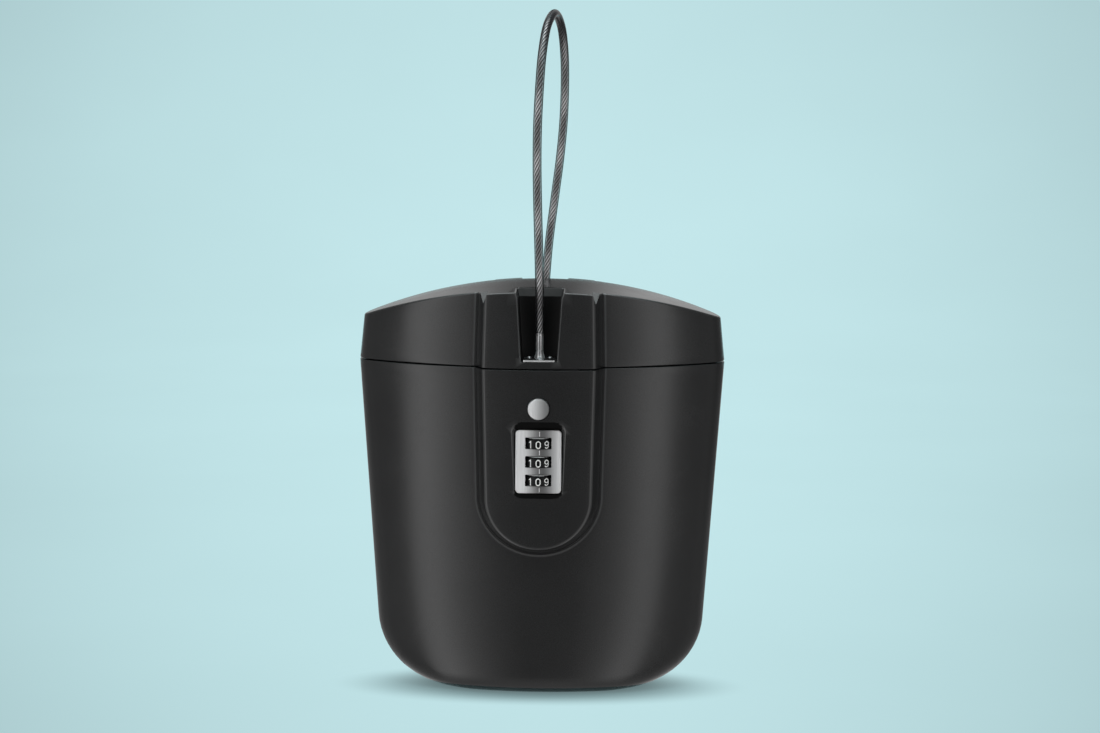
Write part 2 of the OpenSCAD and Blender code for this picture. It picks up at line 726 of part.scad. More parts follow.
module dial_detent_spring() {
    y = dial_y + dial_r + 0.7;
    color("#a7aaad") {
        box(-leaf_half, leaf_half, y, y + 0.4, lock_low_z + leaf_in, lock_high_z - leaf_in);
        for (z = dial_z) {
            nib_low = z + dial_t / 2 - dial_step + seat_gap;
            nib_high = z + dial_t / 2 - 0.1;
            rod_z(nib_low, nib_high, 0, nib_y, nib_r);
            box(-nib_r, nib_r, nib_y, y + 0.1, nib_low, nib_high);
        }
    }
}

// Ten-place dial: a plain band for the numbers and, over it, a stepped ring with the detent notches
module dial(z) {
    half = dial_t / 2;
    step = half - dial_step;
    color("#141516") translate([0, dial_y, z]) difference() {
        rotate_extrude() polygon([[spindle_r + shaft_fit, -half], [dial_r - 0.35, -half],
            [dial_r, -half + 0.35], [dial_r, step - 0.3], [dial_r - 0.3, step], [ring_r, step],
            [ring_r, half - 0.25], [ring_r - 0.25, half], [spindle_r + shaft_fit, half]]);
        for (i = [0:9]) rotate([0, 0, 36 * i + 18])
            translate([ring_r + 0.25, 0, step + 0.1]) cylinder(h = dial_step + 1, r = 0.55, $fn = 24);
    }
}

module upper_dial() {
    dial(dial_z[0]);
}

module middle_dial() {
    dial(dial_z[1]);
}

module lower_dial() {
    dial(dial_z[2]);
}

module release_button() {
    color("#c4c7c9") translate([0, 0, button_z]) rotate([-90, 0, 0]) rotate_extrude() polygon([
        [0, button_y], [button_r - 0.4, button_y], [button_r, button_y + 0.4], [button_r, flange_y],
        [flange_r, flange_y], [flange_r, flange_y + flange_t], [stem_r, flange_y + flange_t],
        [stem_r, stem_y], [0, stem_y]]);
}

module button_spring() {
    y0 = flange_y + flange_t + spring_wire_r + 0.05;
    y1 = guide_y - spring_wire_r - 0.05;
    n = 16 * spring_turns;
    centres = [for (i = [0:n]) let(a = 360 * spring_turns * i / n)
        [spring_r * cos(a), y0 + (y1 - y0) * i / n, button_z + spring_r * sin(a)]];
    along = [for (i = [0:n]) unit(centres[min(i + 1, n)] - centres[max(i - 1, 0)])];
    echo(spring_gap = (y1 - y0) / spring_turns - 2 * spring_wire_r);
    color("#8f9295") loft([for (i = [0:n]) tube_ring(centres[i], along[i], spring_wire_r, 6, [0, 1, 0])]);
}

module latch_hook() {
    color("#8f9295") difference() {
        along_x(-hook_half, hook_half) translate([pivot_y, pivot_z]) {
            circle(2.6);
            polygon([[-0.8, -1.5], [-2.2, -5.5], [-0.4, -5.9], [1.4, -1.5]]);
            translate([-1.5, -5.5]) circle(1.2);
            polygon([[-1, 1], [1.3, 1], [1.3, 7.6], [-1, 7.6]]);
            polygon([[-2.3, 5.4], [-0.5, 4.8], [-0.5, 7.6], [-2.3, 7.2]]);
        }
        rod_x(-hook_half - 1, hook_half + 1, pivot_y, pivot_z, pivot_r + shaft_fit);
    }
}

module latch_pivot_pin() {
    color("#9a9da0") rod_x(-ear_half - 0.3, ear_half + 0.3, pivot_y, pivot_z, pivot_r);
}

module hinge_pin() {
    color("#9a9da0") rod_x(-end_x1 - 0.3, end_x1 + 0.3, hinge_y, rim_z, hinge_pin_r);
}

body_shell();
lock_faceplate();
lock_housing();
lock_rear_cover();
lock_cover_screws();
dial_spindle();
dial_detent_spring();
upper_dial();
middle_dial();
lower_dial();
release_button();
button_spring();
latch_hook();
latch_pivot_pin();
hinge_pin();
lid_shell();
lid_liner();
lid_liner_screws();
latch_keeper();
keeper_screws();
front_anchor_plate();
rear_anchor_plate();
anchor_rivets();
cable_stud();
rear_ferrule();
rear_cable_nut();
security_cable();
cable_retainer();
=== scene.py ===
import json
import math

import bmesh
import bpy
from bpy.props import FloatProperty, FloatVectorProperty, IntProperty, PointerProperty
from mathutils import Matrix, Vector
from mathutils.kdtree import KDTree


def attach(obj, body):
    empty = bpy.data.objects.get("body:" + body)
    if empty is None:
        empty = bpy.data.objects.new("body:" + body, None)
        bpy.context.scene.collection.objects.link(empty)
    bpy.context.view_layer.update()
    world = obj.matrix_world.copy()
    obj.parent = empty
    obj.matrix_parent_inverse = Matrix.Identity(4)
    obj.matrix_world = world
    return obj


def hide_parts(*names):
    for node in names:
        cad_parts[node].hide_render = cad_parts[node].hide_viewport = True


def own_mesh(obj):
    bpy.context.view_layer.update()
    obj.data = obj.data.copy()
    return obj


bl_info = {
    "name": "Travel Safe",
    "version": (1, 0, 0),
    "blender": (4, 5, 0),
    "location": "View3D > Sidebar > Travel Safe",
    "description": "Dresses the solids of a travel safe with moulded, turned and twisted pieces",
    "category": "Object",
}

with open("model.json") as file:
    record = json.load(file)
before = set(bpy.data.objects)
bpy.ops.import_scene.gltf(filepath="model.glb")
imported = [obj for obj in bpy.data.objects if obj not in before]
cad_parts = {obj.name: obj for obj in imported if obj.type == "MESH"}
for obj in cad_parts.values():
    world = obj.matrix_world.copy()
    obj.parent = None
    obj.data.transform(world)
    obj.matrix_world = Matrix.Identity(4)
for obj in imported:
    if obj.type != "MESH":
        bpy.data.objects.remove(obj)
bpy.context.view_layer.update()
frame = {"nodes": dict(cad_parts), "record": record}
MM = 0.001
# How far a cutter reaches past what it cuts
PAST = 1 * MM
# Welding distances as made and after a cut, and the angles from which an edge is rounded or drawn sharp
WELD = 1e-7
CUT_WELD = 2e-6
SHARP = math.radians(40)
CREASE = math.radians(32)
# Size of the picture in pixels
IMAGE_WIDTH = 1100
IMAGE_HEIGHT = 733


def length(name, description, millimetres):
    """A size that a user may change, typed in millimetres and kept in metres."""
    return FloatProperty(name=name, description=description, default=millimetres * MM, precision=5,
                         unit="LENGTH")


def factor(name, description, value):
    """A plain number that a user may change."""
    return FloatProperty(name=name, description=description, default=value, precision=4)


def colour(name, description, rgb):
    """A colour that a user may change."""
    return FloatVectorProperty(name=name, description=description, default=rgb, size=3, min=0.0, max=1.0,
                               subtype="COLOR")


class CaseSizes(bpy.types.PropertyGroup):
    """Sizes of the tub and the lid."""
    width: length("Width", "Width over the ends at the parting line", 174)
    half_depth: length("Half depth", "Half of the depth without the raised panels", 37.5)
    end_r: length("End radius", "Radius of the rounded ends, seen from above", 14.4)
    rim_z: length("Rim height", "Height of the tub's rim", 156)
    end_draft: factor("End draft", "Sideways draft of the ends per unit of height", 0.07)
    face_draft: factor("Face draft", "Draft of the front and back per unit of height", 0.035)
    corner_r: length("Corner radius", "Radius of the lower corners, seen from the front", 34)
    foot_r: length("Foot radius", "Radius of the edge around the base", 7)
    wall: length("Tub wall", "Wall thickness of the tub", 3.5)
    lid_rise: length("Lid rise", "Height of the crown above the rim", 37.2)
    lid_lean: factor("Lid lean", "Inward lean of the lid's walls per unit of height", 0.1)
    crown_r: length("Crown radius", "Radius of the crown from end to end", 235)
    dome_r: length("Dome radius", "Radius of the crown from front to back", 600)
    lid_wall: length("Lid wall", "Wall thickness of the lid", 3.2)
    parting_gap: length("Parting gap", "Gap between tub and lid", 0.6)
    edge_round: length("Rim rounding", "Rounding of the edges along the parting line", 0.35)
    lip_round: length("Lip rounding", "Rounding of the lid's upper edge", 0.9)
    liner_t: length("Liner thickness", "Thickness of the plate under the lid", 1.6)


class PanelSizes(bpy.types.PropertyGroup):
    """Sizes of the raised panel, the groove around it and the cable recess."""
    proud: length("Panel height", "How far the panel stands off the wall", 7.5)
    half: length("Panel half width", "Half width of the panel's face at the parting line", 25.1)
    taper: factor("Panel taper", "Narrowing of each side per unit of height away from the parting line", 0.02)
    slope: factor("Panel slope", "Sideways slope of the panel's edge per unit of depth", 0.42)
    foot_z: length("Panel foot", "Height of the bottom of the panel's face", 72)
    groove: length("Groove depth", "Depth of the groove along the panel's foot", 0.55)
    groove_width: length("Groove width", "Width of the groove's outer side", 0.8)
    edge_round: length("Panel edge", "Rounding of the panel's edge", 1.3)
    margin: length("Panel margin", "Half width of the mesh patch that carries the panel", 38)
    recess_low: length("Recess floor width", "Half width of the cable recess at its floor", 8.3)
    recess_high: length("Recess top width", "Half width of the cable recess at the crown", 10.4)
    recess_depth: length("Recess depth", "Depth of the recess from the panel's face", 17)
    recess_floor: length("Recess floor", "Height of the recess floor above the rim", 3.6)
    floor_t: length("Recess floor thickness", "Thickness of the recess floor", 1.6)
    recess_round: length("Recess edge", "Rounding of the recess's edges", 1.5)


class LockSizes(bpy.types.PropertyGroup):
    """Sizes of the dial lock, the push button and the latch."""
    plate_w: length("Plate width", "Width of the lock's face plate", 21.4)
    plate_h: length("Plate height", "Height of the lock's face plate", 29.6)
    plate_t: length("Plate thickness", "Thickness of the face plate", 1.2)
    plate_drop: length("Plate drop", "Distance of the plate's middle below the rim", 43)
    plate_sink: length("Plate sink", "How far the plate lies behind the panel's face", 1.1)
    dial_r: length("Dial radius", "Radius of a dial", 6.6)
    dial_t: length("Dial thickness", "Thickness of a dial", 4.9)
    dial_pitch: length("Dial pitch", "Spacing of the dials", 8.7)
    dial_proud: length("Dial height", "How far a dial stands out of the plate", 1)
    shoulder: length("Dial shoulder", "Height of the stepped ring above the numbers", 1.1)
    number_h: length("Number height", "Height of the numbers on the dials", 3.55)
    spindle_r: length("Spindle radius", "Radius of the spindle", 1.5)
    window_w: length("Window width", "Width of a dial window", 12.2)
    button_r: length("Button radius", "Radius of the push button", 4.9)
    button_proud: length("Button height", "How far the button stands out of the panel", 1.2)
    button_drop: length("Button drop", "Distance of the button's axis below the rim", 18)
    half: length("Lock half width", "Half width of the lock's housing", 19)


class CableSizes(bpy.types.PropertyGroup):
    """Sizes of the cable loop and its anchors."""
    radius: length("Cable radius", "Radius of the coated cable", 2.05)
    strand_r: length("Strand radius", "Radius of one strand", 0.5)
    lay: length("Lay length", "Length of one turn of the strands", 15)
    strands: IntProperty(name="Strands", description="Number of strands around the core", default=6, min=3)
    ferrule_r: length("Ferrule radius", "Radius of the crimped ferrule", 1.65)
    ferrule_h: length("Ferrule height", "Height of the ferrule above its collar", 10.6)
    anchor_t: length("Anchor thickness", "Thickness of the anchor plates", 1.1)
    anchor_in: length("Anchor distance", "Distance of the cable's ends behind the panels' faces", 12)
    rivet_x: length("Rivet distance", "Distance of the rivets from the cable", 4.9)


class Finishes(bpy.types.PropertyGroup):
    """Colours of the finishes and the stage."""
    case: colour("Case plastic", "Charcoal of the tub and the lid", (0.0135, 0.0137, 0.014))
    # Lighter colour that the case's rounded edges go over to: a painted highlight
    case_edge: colour("Case edges", "Rubbed edges of the case plastic", (0.085, 0.0855, 0.086))
    # Recess and pocket colours are darker copies of the case plastic: painted shade inside the cable recesses
    # and on the slopes of the lock's pocket
    recess: colour("Recess plastic", "Matt inside of the cable recesses", (0.0042, 0.0042, 0.0043))
    pocket: colour("Pocket plastic", "Matt slopes of the lock's pocket", (0.0016, 0.0016, 0.0016))
    liner: colour("Liner plastic", "Plastic under the lid", (0.018, 0.0185, 0.019))
    lock: colour("Lock plastic", "Plastic of the lock's housing", (0.014, 0.0145, 0.015))
    dial: colour("Dial plastic", "Plastic of the dials", (0.008, 0.008, 0.0085))
    # Light colour of the dials' top bevel: a painted highlight line over the numbers
    dial_edge: colour("Dial edge", "Worn edge over the dials' numbers", (0.55, 0.55, 0.55))
    numbers: colour("Numbers", "Paint of the numbers", (0.92, 0.92, 0.9))
    metal: colour("Satin metal", "Plate, button and ferrules", (0.93, 0.93, 0.935))
    steel: colour("Steel", "Screws, pins and latch", (0.5, 0.505, 0.515))
    strand: colour("Cable strands", "Wire of the cable", (0.55, 0.55, 0.56))
    coat: colour("Cable coat", "Smoke-grey coat of the cable", (0.02, 0.02, 0.022))
    stage: colour("Floor", "Floor and backdrop", (0.521, 0.753, 0.783))


class SafeProperties(bpy.types.PropertyGroup):
    """All sizes and finishes of the safe."""
    case: PointerProperty(type=CaseSizes)
    panel: PointerProperty(type=PanelSizes)
    lock: PointerProperty(type=LockSizes)
    cable: PointerProperty(type=CableSizes)
    finish: PointerProperty(type=Finishes)


# Route of the cable: sideways offset, place between the ends and height over the ferrule, in millimetres
CABLE_ROUTE = (
    (0, -1, 0), (0, -1, 6), (-0.2, -1.02, 20), (-0.6, -1.06, 38), (-1.2, -1.1, 58), (-1.6, -1.12, 78),
    (-1.5, -1.1, 96), (-0.8, -1.02, 113.4), (0.2, -0.84, 128.9), (2, -0.5, 141.5), (5, 0, 147.3),
    (7.6, 0.5, 141.5), (8.9, 0.84, 128.9), (9.1, 1.02, 113.4), (8.5, 1.1, 96), (6.9, 1.12, 78),
    (4.4, 1.1, 58), (2, 1.06, 38), (0.6, 1.02, 20), (0, 1, 6), (0, 1, 0))
# Steps between two points of the route, sides of a strand, and its distance from the middle in its radii
ROUTE_STEPS = 24
STRAND_SIDES = 8
STRAND_OUT = 1.96
# Distance from the rope's middle at which its outer value starts, and over which it grows, in strand radii
OUTER_FROM = 2.1
OUTER_SPAN = 0.8
# Hinge along X, in millimetres: knuckles from end to end, and rooms for them by their middle and half length
TUB_KNUCKLES = ((-11, 11), (20.8, 26.2), (-26.2, -20.8))
TUB_ROOMS = ((-15.9, 4.9), (15.9, 4.9))
LID_KNUCKLES = ((11.4, 20.4), (-20.4, -11.4))
LID_ROOMS = ((0, 11.4), (23.5, 3.1), (-23.5, 3.1))
# Hinge: its axis behind the rear panel's face, its knuckles, their rooms and webs, and the pin with its hole
HINGE_OUT = 3 * MM
KNUCKLE_R = 3.5 * MM
ROOM_R = 3.9 * MM
WEB_H = 10 * MM
PIN_R = 1.5 * MM
PIN_HALF = 26.5 * MM
PIN_HOLE_R = 1.55 * MM
PIN_HOLE_HALF = 28 * MM
# Retainer under the lid, keeper and lock's rear cover
TRAVEL = 7 * MM
KNOB_X = -15.2 * MM
KNOB_R = 1.4 * MM
KEEPER_T = 1.5 * MM
COVER_T = 1.6 * MM
# Lock behind the face plate and the button: walls, reaches and gaps, up to the latch's pivot and the keeper
POCKET_FLOOR_T = 1.8 * MM
POCKET_R = 2 * MM
LOCK_BACK = 3.2 * MM
LOCK_BELOW = 19.5 * MM
LOCK_ABOVE = 18.5 * MM
BUTTON_WALL = 2.9 * MM
FLANGE_GAP = 0.3 * MM
GUIDE_IN = 5.9 * MM
STEM_OUT = 1.8 * MM
PIVOT_IN = 3 * MM
PIVOT_RISE = 5.5 * MM
KEEPER_OUT = 2.7 * MM
# Slopes of the plate's pocket: beside the plate, then before it to the sides, up and down, and more below
PLATE_SLOPE = 0.15
SIDE_SLOPE = 1.4
END_SLOPE = 2.2
FOOT_SLOPE = 4.0
# Walls beside the hollow of the rear panel and beside a cable recess, and height of a ferrule's collar
HOLLOW_MARGIN = 4.5 * MM
RECESS_WALL = 2.3 * MM
COLLAR_H = 1 * MM
# Places of a dial
PLACES = 10
# Camera: focal length in pixels, distance, and the pixel on which the middle of the rim falls
FOCAL_PIXELS = 2512.0
CAMERA_DISTANCE = 1.2
AIM_PIXEL = (542.0, 359.2)
# Floor with its backdrop, and the round wall of softboxes
FLOOR_HALF = 4.0
FLOOR_FRONT = 3.0
SWEEP_R = 1.2
BACKDROP_H = 4.0
SOFTBOX_R = 1.9
SOFTBOX_H = 2.4
SOFTBOX_LIFT = 0.003
# Glow of the softboxes by their azimuth in degrees, counted from the front towards the right
SOFTBOXES = (
    (-88, 0.38), (-74, 0.3), (-63, 0.33), (-58, 1.9), (-52, 2.2), (-47, 1.75), (-41, 1.2), (-34, 0.8),
    (-26, 0.5), (-18, 0.31), (-8, 0.2), (8, 0.19), (18, 0.24), (28, 0.5), (36, 0.8), (42, 1.3), (47, 1.75),
    (53, 1.6), (58, 0.45), (66, 0.27), (80, 0.34), (100, 0.17), (150, 0.17), (160, 0.62), (175.5, 0.62),
    (179.8, 0.12), (183.4, 0.12), (188.5, 0.54), (200, 0.64), (212, 0.27), (255, 0.27))
BRIGHTEST = max(glow for _, glow in SOFTBOXES)
# Pen strokes of the numbers 0 to 9, one tall: pairs are points, fives an arc's middle, radius and angles
PEN_STROKES = (
    (((0, 0.7, 0.3, 0, 180), (0, 0.3, 0.3, 180, 360), (0.3, 0.7)),),
    (((-0.22, 0.8), (0.06, 1.04), (0.06, -0.09)),),
    (((0, 0.72, 0.28, 165, -35), (-0.27, 0), (0.36, 0)),),
    (((0, 0.75, 0.25, 150, -60), (0, 0.26, 0.26, 60, -150)),),
    (((0.1, -0.09), (0.1, 1.09)), ((0.1, 1), (-0.3, 0.3), (0.38, 0.3))),
    (((0.34, 1), (-0.2, 1), (0, 0.31, 0.31, 140, -150)),),
    (((0, 0.3, 0.3, 0, 360),), ((0, 0.7, 0.3, 30, 180), (-0.3, 0.3))),
    (((-0.36, 1), (0.28, 1), (-0.1, -0.09)),),
    (((0, 0.76, 0.24, -90, 270),), ((0, 0.27, 0.27, -90, 270),)),
    (((0, 0.7, 0.3, 0, 360),), ((0, 0.3, 0.3, -150, 0), (0.3, 0.7))))
# The pen's width, its steps along a line and around an arc, and how much wider the numbers are set
PEN_WIDTH = 0.18
PEN_STEP = 0.12
PEN_ARC_STEPS = 18
PEN_WIDER = 1.08
# Painted highlight of the points across the panel's edge and across the lip of its groove, by their place in
# a row
BAND_HIGHLIGHT = {7: 0.1, 8: 0.32, 9: 0.45, 10: 0.32, 11: 0.1, 20: 0.35, 21: 0.8, 22: 1.0, 23: 0.8, 24: 0.35}
# Height over a surface, in roundings, at which the rounding of a cut ends
MOUTH_LIFT = 0.2


def lerp(a, b, t):
    """Value between a and b."""
    return a + (b - a) * t


def rounded_corner(start, corner, end, steps):
    """Points of a rounded corner from start to end."""
    out = []
    for i in range(steps + 1):
        t = i / steps
        out.append(start * (1 - t) ** 2 + corner * 2 * t * (1 - t) + end * t ** 2)
    return out


class SafeForm:
    """Curves and places of the safe, worked out from its sizes."""

    def __init__(self):
        safe = bpy.context.scene.travel_safe
        self.case, self.panel, self.lock, self.cable = safe.case, safe.panel, safe.lock, safe.cable
        c, p, k, b = self.case, self.panel, self.lock, self.cable
        self.half_w = c.width / 2
        inner = c.half_depth - c.end_r
        self.bow_y = ((self.half_w - c.end_r) ** 2 - inner ** 2) / (2 * inner)
        self.bow_r = c.half_depth + self.bow_y
        self.panel_y = c.half_depth + p.proud
        end_cos = math.cos(math.atan(c.end_draft))
        face_cos = math.cos(math.atan(c.face_draft))
        self.end_sin, self.end_cos = c.end_draft * end_cos, end_cos
        self.face_sin, self.face_cos = c.face_draft * face_cos, face_cos
        self.corner_x = self.half_w - c.end_draft * (c.rim_z - c.corner_r) - c.corner_r / end_cos
        self.foot_y = c.half_depth - c.face_draft * (c.rim_z - c.foot_r) - c.foot_r / face_cos
        self.lid_z = c.rim_z + c.parting_gap
        self.crown_z = c.rim_z + c.lid_rise
        self.u_r = (p.half - p.taper * (c.rim_z - p.foot_z)) / (1 - p.taper)
        self.u_z = p.foot_z + self.u_r
        self.hollow_half = p.half - HOLLOW_MARGIN
        self.floor_z = c.rim_z + p.recess_floor
        self.recess_y = self.panel_y - p.recess_depth
        self.block_half = p.recess_high + RECESS_WALL
        self.anchor_y = self.panel_y - b.anchor_in
        self.anchor_z = self.floor_z + b.anchor_t
        self.ferrule_z = self.anchor_z + COLLAR_H + b.ferrule_h
        self.liner_z = self.lid_z - c.liner_t
        self.hinge_y = self.panel_y + HINGE_OUT
        self.plate_z = c.rim_z - k.plate_drop
        self.plate_y = -(self.panel_y - c.face_draft * k.plate_drop) + k.plate_sink
        self.pocket_y = self.plate_y + k.plate_t
        self.lock_y = self.pocket_y + POCKET_FLOOR_T
        self.dial_y = self.plate_y - k.dial_proud + k.dial_r
        self.dial_z = [self.plate_z + k.dial_pitch, self.plate_z, self.plate_z - k.dial_pitch]
        self.lock_back_y = self.dial_y + k.dial_r + LOCK_BACK
        self.lock_low_z = self.plate_z - LOCK_BELOW
        self.lock_high_z = self.plate_z + LOCK_ABOVE
        self.button_z = c.rim_z - k.button_drop
        face = -(self.panel_y - c.face_draft * k.button_drop)
        self.button_y = face - k.button_proud
        self.well_y = face + BUTTON_WALL
        self.flange_y = self.well_y + FLANGE_GAP
        self.guide_y = self.flange_y + GUIDE_IN
        self.stem_y = self.guide_y + STEM_OUT
        self.pivot_y = self.stem_y + PIVOT_IN
        self.pivot_z = self.button_z + PIVOT_RISE
        self.keeper_y = self.pivot_y - KEEPER_OUT
        self.window_half = k.dial_t / 2 + 0.3 * MM

    def oval_sizes(self, w, d):
        """Bow radius, end radius, end centre, tangent angle and half length of an oval's front."""
        big = d + self.bow_y
        small = (2 * big * d - d * d - w * w) / (2 * (big - w))
        centre = w - small
        tangent = math.atan2(centre, self.bow_y)
        return big, small, centre, tangent, big * tangent + small * (math.pi / 2 - tangent)

    def oval(self, w, d, s):
        """Point of an oval's front half, from its left end at -1 to its right end at 1."""
        big, small, centre, tangent, half = self.oval_sizes(w, d)
        a = abs(s) * half
        if a <= big * tangent:
            x, y = big * math.sin(a / big), self.bow_y - big * math.cos(a / big)
        else:
            turn = tangent - math.pi / 2 + (a - big * tangent) / small
            x, y = centre + small * math.cos(turn), small * math.sin(turn)
        return math.copysign(x, s), y

    def plan(self, w, d, z):
        """Whole outline of an oval at a height."""
        quarter = [Vector((*self.oval(w, d, i / 24), z)) for i in range(25)]
        quarter[-1].y = 0.0
        return around(quarter)

    def tub_w(self, z, t=0.0):
        """Half width of the tub at a height, moved inwards by t."""
        c = self.case
        if z >= c.corner_r - (c.corner_r - t) * self.end_sin:
            return self.half_w - c.end_draft * (c.rim_z - z) - t / self.end_cos
        return self.corner_x + math.sqrt(max(0.0, (c.corner_r - t) ** 2 - (c.corner_r - z) ** 2))

    def tub_d(self, z, t=0.0):
        """Half depth of the tub at a height, moved inwards by t."""
        c = self.case
        if z >= c.foot_r - (c.foot_r - t) * self.face_sin:
            return c.half_depth - c.face_draft * (c.rim_z - z) - t / self.face_cos
        return self.foot_y + math.sqrt(max(0.0, (c.foot_r - t) ** 2 - (c.foot_r - z) ** 2))

    def bow(self, x, radius):
        """Depth of a bowed front face of that radius."""
        return self.bow_y - math.sqrt(radius ** 2 - x ** 2)

    def tub_wall(self, x, z):
        """Depth of the tub's front wall."""
        return self.bow(x, self.bow_r - self.case.face_draft * (self.case.rim_z - z))

    def tub_face(self, x, z):
        """Depth of the panel's face on the tub."""
        return self.bow(x, self.bow_r + self.panel.proud - self.case.face_draft * (self.case.rim_z - z))

    def lid_wall(self, x, z):
        """Depth of the lid's front wall."""
        return self.bow(x, self.bow_r - self.case.lid_lean * (z - self.case.rim_z))

    def lid_face(self, x, z):
        """Depth of the panel's face on the lid."""
        return self.bow(x, self.bow_r + self.panel.proud - self.case.lid_lean * (z - self.case.rim_z))

    def crown(self, x, y, inset=0.0):
        """Height of the lid's crown."""
        c = self.case
        across = c.crown_r - c.dome_r + math.sqrt((c.dome_r - inset) ** 2 - y ** 2)
        return self.crown_z - c.crown_r + math.sqrt(across ** 2 - x ** 2)

    def band(self, ray, face, wall, half, back):
        """Points across the panel: its face, its rounded edge, the slope, the groove and the groove's lip.
        Half is the width of the face along the ray and back its distance behind the panel's front."""
        p = self.panel
        front = self.panel_y - back

        def at(h, surface, sink=0.0):
            """Point of a surface at a distance along the ray."""
            x, z = ray(h)
            return Vector((x, surface(x, z) + sink, z))

        edge, root = half, half + 4 * MM
        for _ in range(10):
            edge = half + p.slope * (at(edge, face).y + front)
            root = half + p.slope * (at(root, wall, p.groove).y + front)
        lip = root + p.groove_width
        crest, low, brow = at(edge, face), at(root, wall, p.groove), at(lip, wall)
        down, up = (low - crest).normalized(), (brow - low).normalized()
        side = (brow - low).length
        r = p.edge_round
        out = [at((edge - r) * f, face) for f in (0.0, 0.22, 0.44, 0.64, 0.82, 0.94)]
        out += rounded_corner(at(edge - r, face), crest, crest + down * r, 6)
        slope_end = low - down * 0.4 * MM
        out += [lerp(crest + down * r, slope_end, f) for f in (0.33, 0.67)]
        out += rounded_corner(slope_end, low, low + up * side * 0.35, 3)
        out += rounded_corner(brow - up * side * 0.65, brow, at(lip + 1.0 * MM, wall), 6)
        return out

    def unrolled(self, z):
        """Length along the upright profile up to a height."""
        r = self.case.foot_r
        return r * math.acos(1 - z / r) if z < r else z - r + r * math.pi / 2

    def height(self, q):
        """Height at a length along the upright profile."""
        r = self.case.foot_r
        return r * (1 - math.cos(q / r)) if q < r * math.pi / 2 else q + r - r * math.pi / 2

    def end_height(self, share):
        """Height at a share of the way down an end, from the panel's round foot to the base."""
        c = self.case
        turn = math.acos(self.end_sin)
        straight = self.u_z - c.corner_r * (1 - self.end_sin)
        run = share * (straight / self.end_cos + c.corner_r * turn)
        if run * self.end_cos < straight:
            return self.u_z - run * self.end_cos
        return c.corner_r * (1 - math.cos(turn - (run - straight / self.end_cos) / c.corner_r))

    def tub_front(self):
        """Rows of points over the tub's front, from the panel's middle line out to the ends and the base."""
        c, m = self.case, self.panel.margin
        side, end, base, across = 16, 30, 14, 30
        corner = math.radians(50)
        rays, goals, halves, backs = [], [], [], []
        for i in range(side):
            z = lerp(c.rim_z - c.edge_round, self.u_z, i / side)
            rays.append(lambda h, z=z: (-h, z))
            halves.append(self.panel.half - self.panel.taper * (c.rim_z - z))
            backs.append(c.face_draft * (c.rim_z - z))
            goals.append((-1.0, self.unrolled(z)))
        for i in range(end + base + 1):
            if i < end:
                t = corner * i / end
                goals.append((-1.0, self.unrolled(self.end_height(i / end))))
            else:
                t = lerp(corner, math.pi / 2, (i - end) / base)
                goals.append((-1 + (i - end) / base, 0.0))
            ct, st = math.cos(t), math.sin(t)
            rays.append(lambda h, ct=ct, st=st: (-h * ct, self.u_z - h * st))
            halves.append(self.u_r)
            backs.append(c.face_draft * (c.rim_z - self.u_z))
        rows = []
        for ray, (s1, q1), half, back in zip(rays, goals, halves, backs):
            row = self.band(ray, self.tub_face, self.tub_wall, half, back)
            x, z = ray(m)
            radius = self.bow_r - c.face_draft * (c.rim_z - z)
            s0 = radius * math.asin(x / radius) / self.oval_sizes(self.tub_w(z), self.tub_d(z))[4]
            q0 = self.unrolled(z)
            last = row[-1]
            for f in (0.35, 0.7):
                px, pz = lerp(last.x, x, f), lerp(last.z, z, f)
                row.append(Vector((px, self.tub_wall(px, pz), pz)))
            for i in range(across + 1):
                s, q = lerp(s0, s1, i / across), lerp(q0, q1, i / across)
                pz = self.height(q)
                row.append(Vector((*self.oval(self.tub_w(pz), self.tub_d(pz), s), pz)))
            rows.append(row)
        return rows + [[Vector((-v.x, v.y, v.z)) for v in row] for row in reversed(rows[:-1])]

    def lid_quarter(self, z):
        """Outline of the lid at a height, from the panel's middle to the right end."""
        lean = self.case.lid_lean * (z - self.case.rim_z)
        half = self.panel.half - self.panel.taper * (z - self.lid_z)
        row = self.band(lambda h: (h, z), self.lid_face, self.lid_wall, half, lean)
        w, d = self.half_w - lean, self.case.half_depth - lean
        big, _, _, _, half = self.oval_sizes(w, d)
        s0 = big * math.asin(row[-1].x / big) / half
        for i in range(1, 31):
            row.append(Vector((*self.oval(w, d, lerp(s0, 1.0, i / 30)), z)))
        row[-1].y = 0.0
        return row


def around(quarter):
    """A whole outline from the quarter that runs from the front's middle to the right end."""
    back = [Vector((v.x, -v.y, v.z)) for v in reversed(quarter)][1:]
    right = quarter + back
    left = [Vector((-v.x, v.y, v.z)) for v in reversed(right)][1:]
    return right + left[:-1]


def skin(bm, rows):
    """Lays a grid of faces over rows of points."""
    across, up = len(rows[0]) - 1, len(rows) - 1
    made = bmesh.ops.create_grid(bm, x_segments=across, y_segments=up, size=1.0)
    for v in made["verts"]:
        v.co = rows[round((v.co.y + 1) / 2 * up)][round((v.co.x + 1) / 2 * across)]
    bmesh.ops.remove_doubles(bm, verts=made["verts"], dist=WELD)


def close(bm):
    """Fills the open ends and turns the faces outwards."""
    bmesh.ops.remove_doubles(bm, verts=bm.verts, dist=WELD)
    bmesh.ops.dissolve_degenerate(bm, dist=WELD, edges=bm.edges)
    bmesh.ops.holes_fill(bm, edges=[e for e in bm.edges if e.is_boundary], sides=0)
    bmesh.ops.recalc_face_normals(bm, faces=bm.faces)
    return bm


def loft(rings):
    """A closed solid through rings with the same number of points."""
    bm = bmesh.new()
    skin(bm, [ring + ring[:1] for ring in rings])
    return close(bm)


def frames(path, side):
    """The points of a path, each with two directions across it that turn as little as they can."""
    for i, point in enumerate(path):
        along = (path[min(i + 1, len(path) - 1)] - path[max(i - 1, 0)]).normalized()
        side = (side - along * side.dot(along)).normalized()
        yield point, side, along.cross(side)


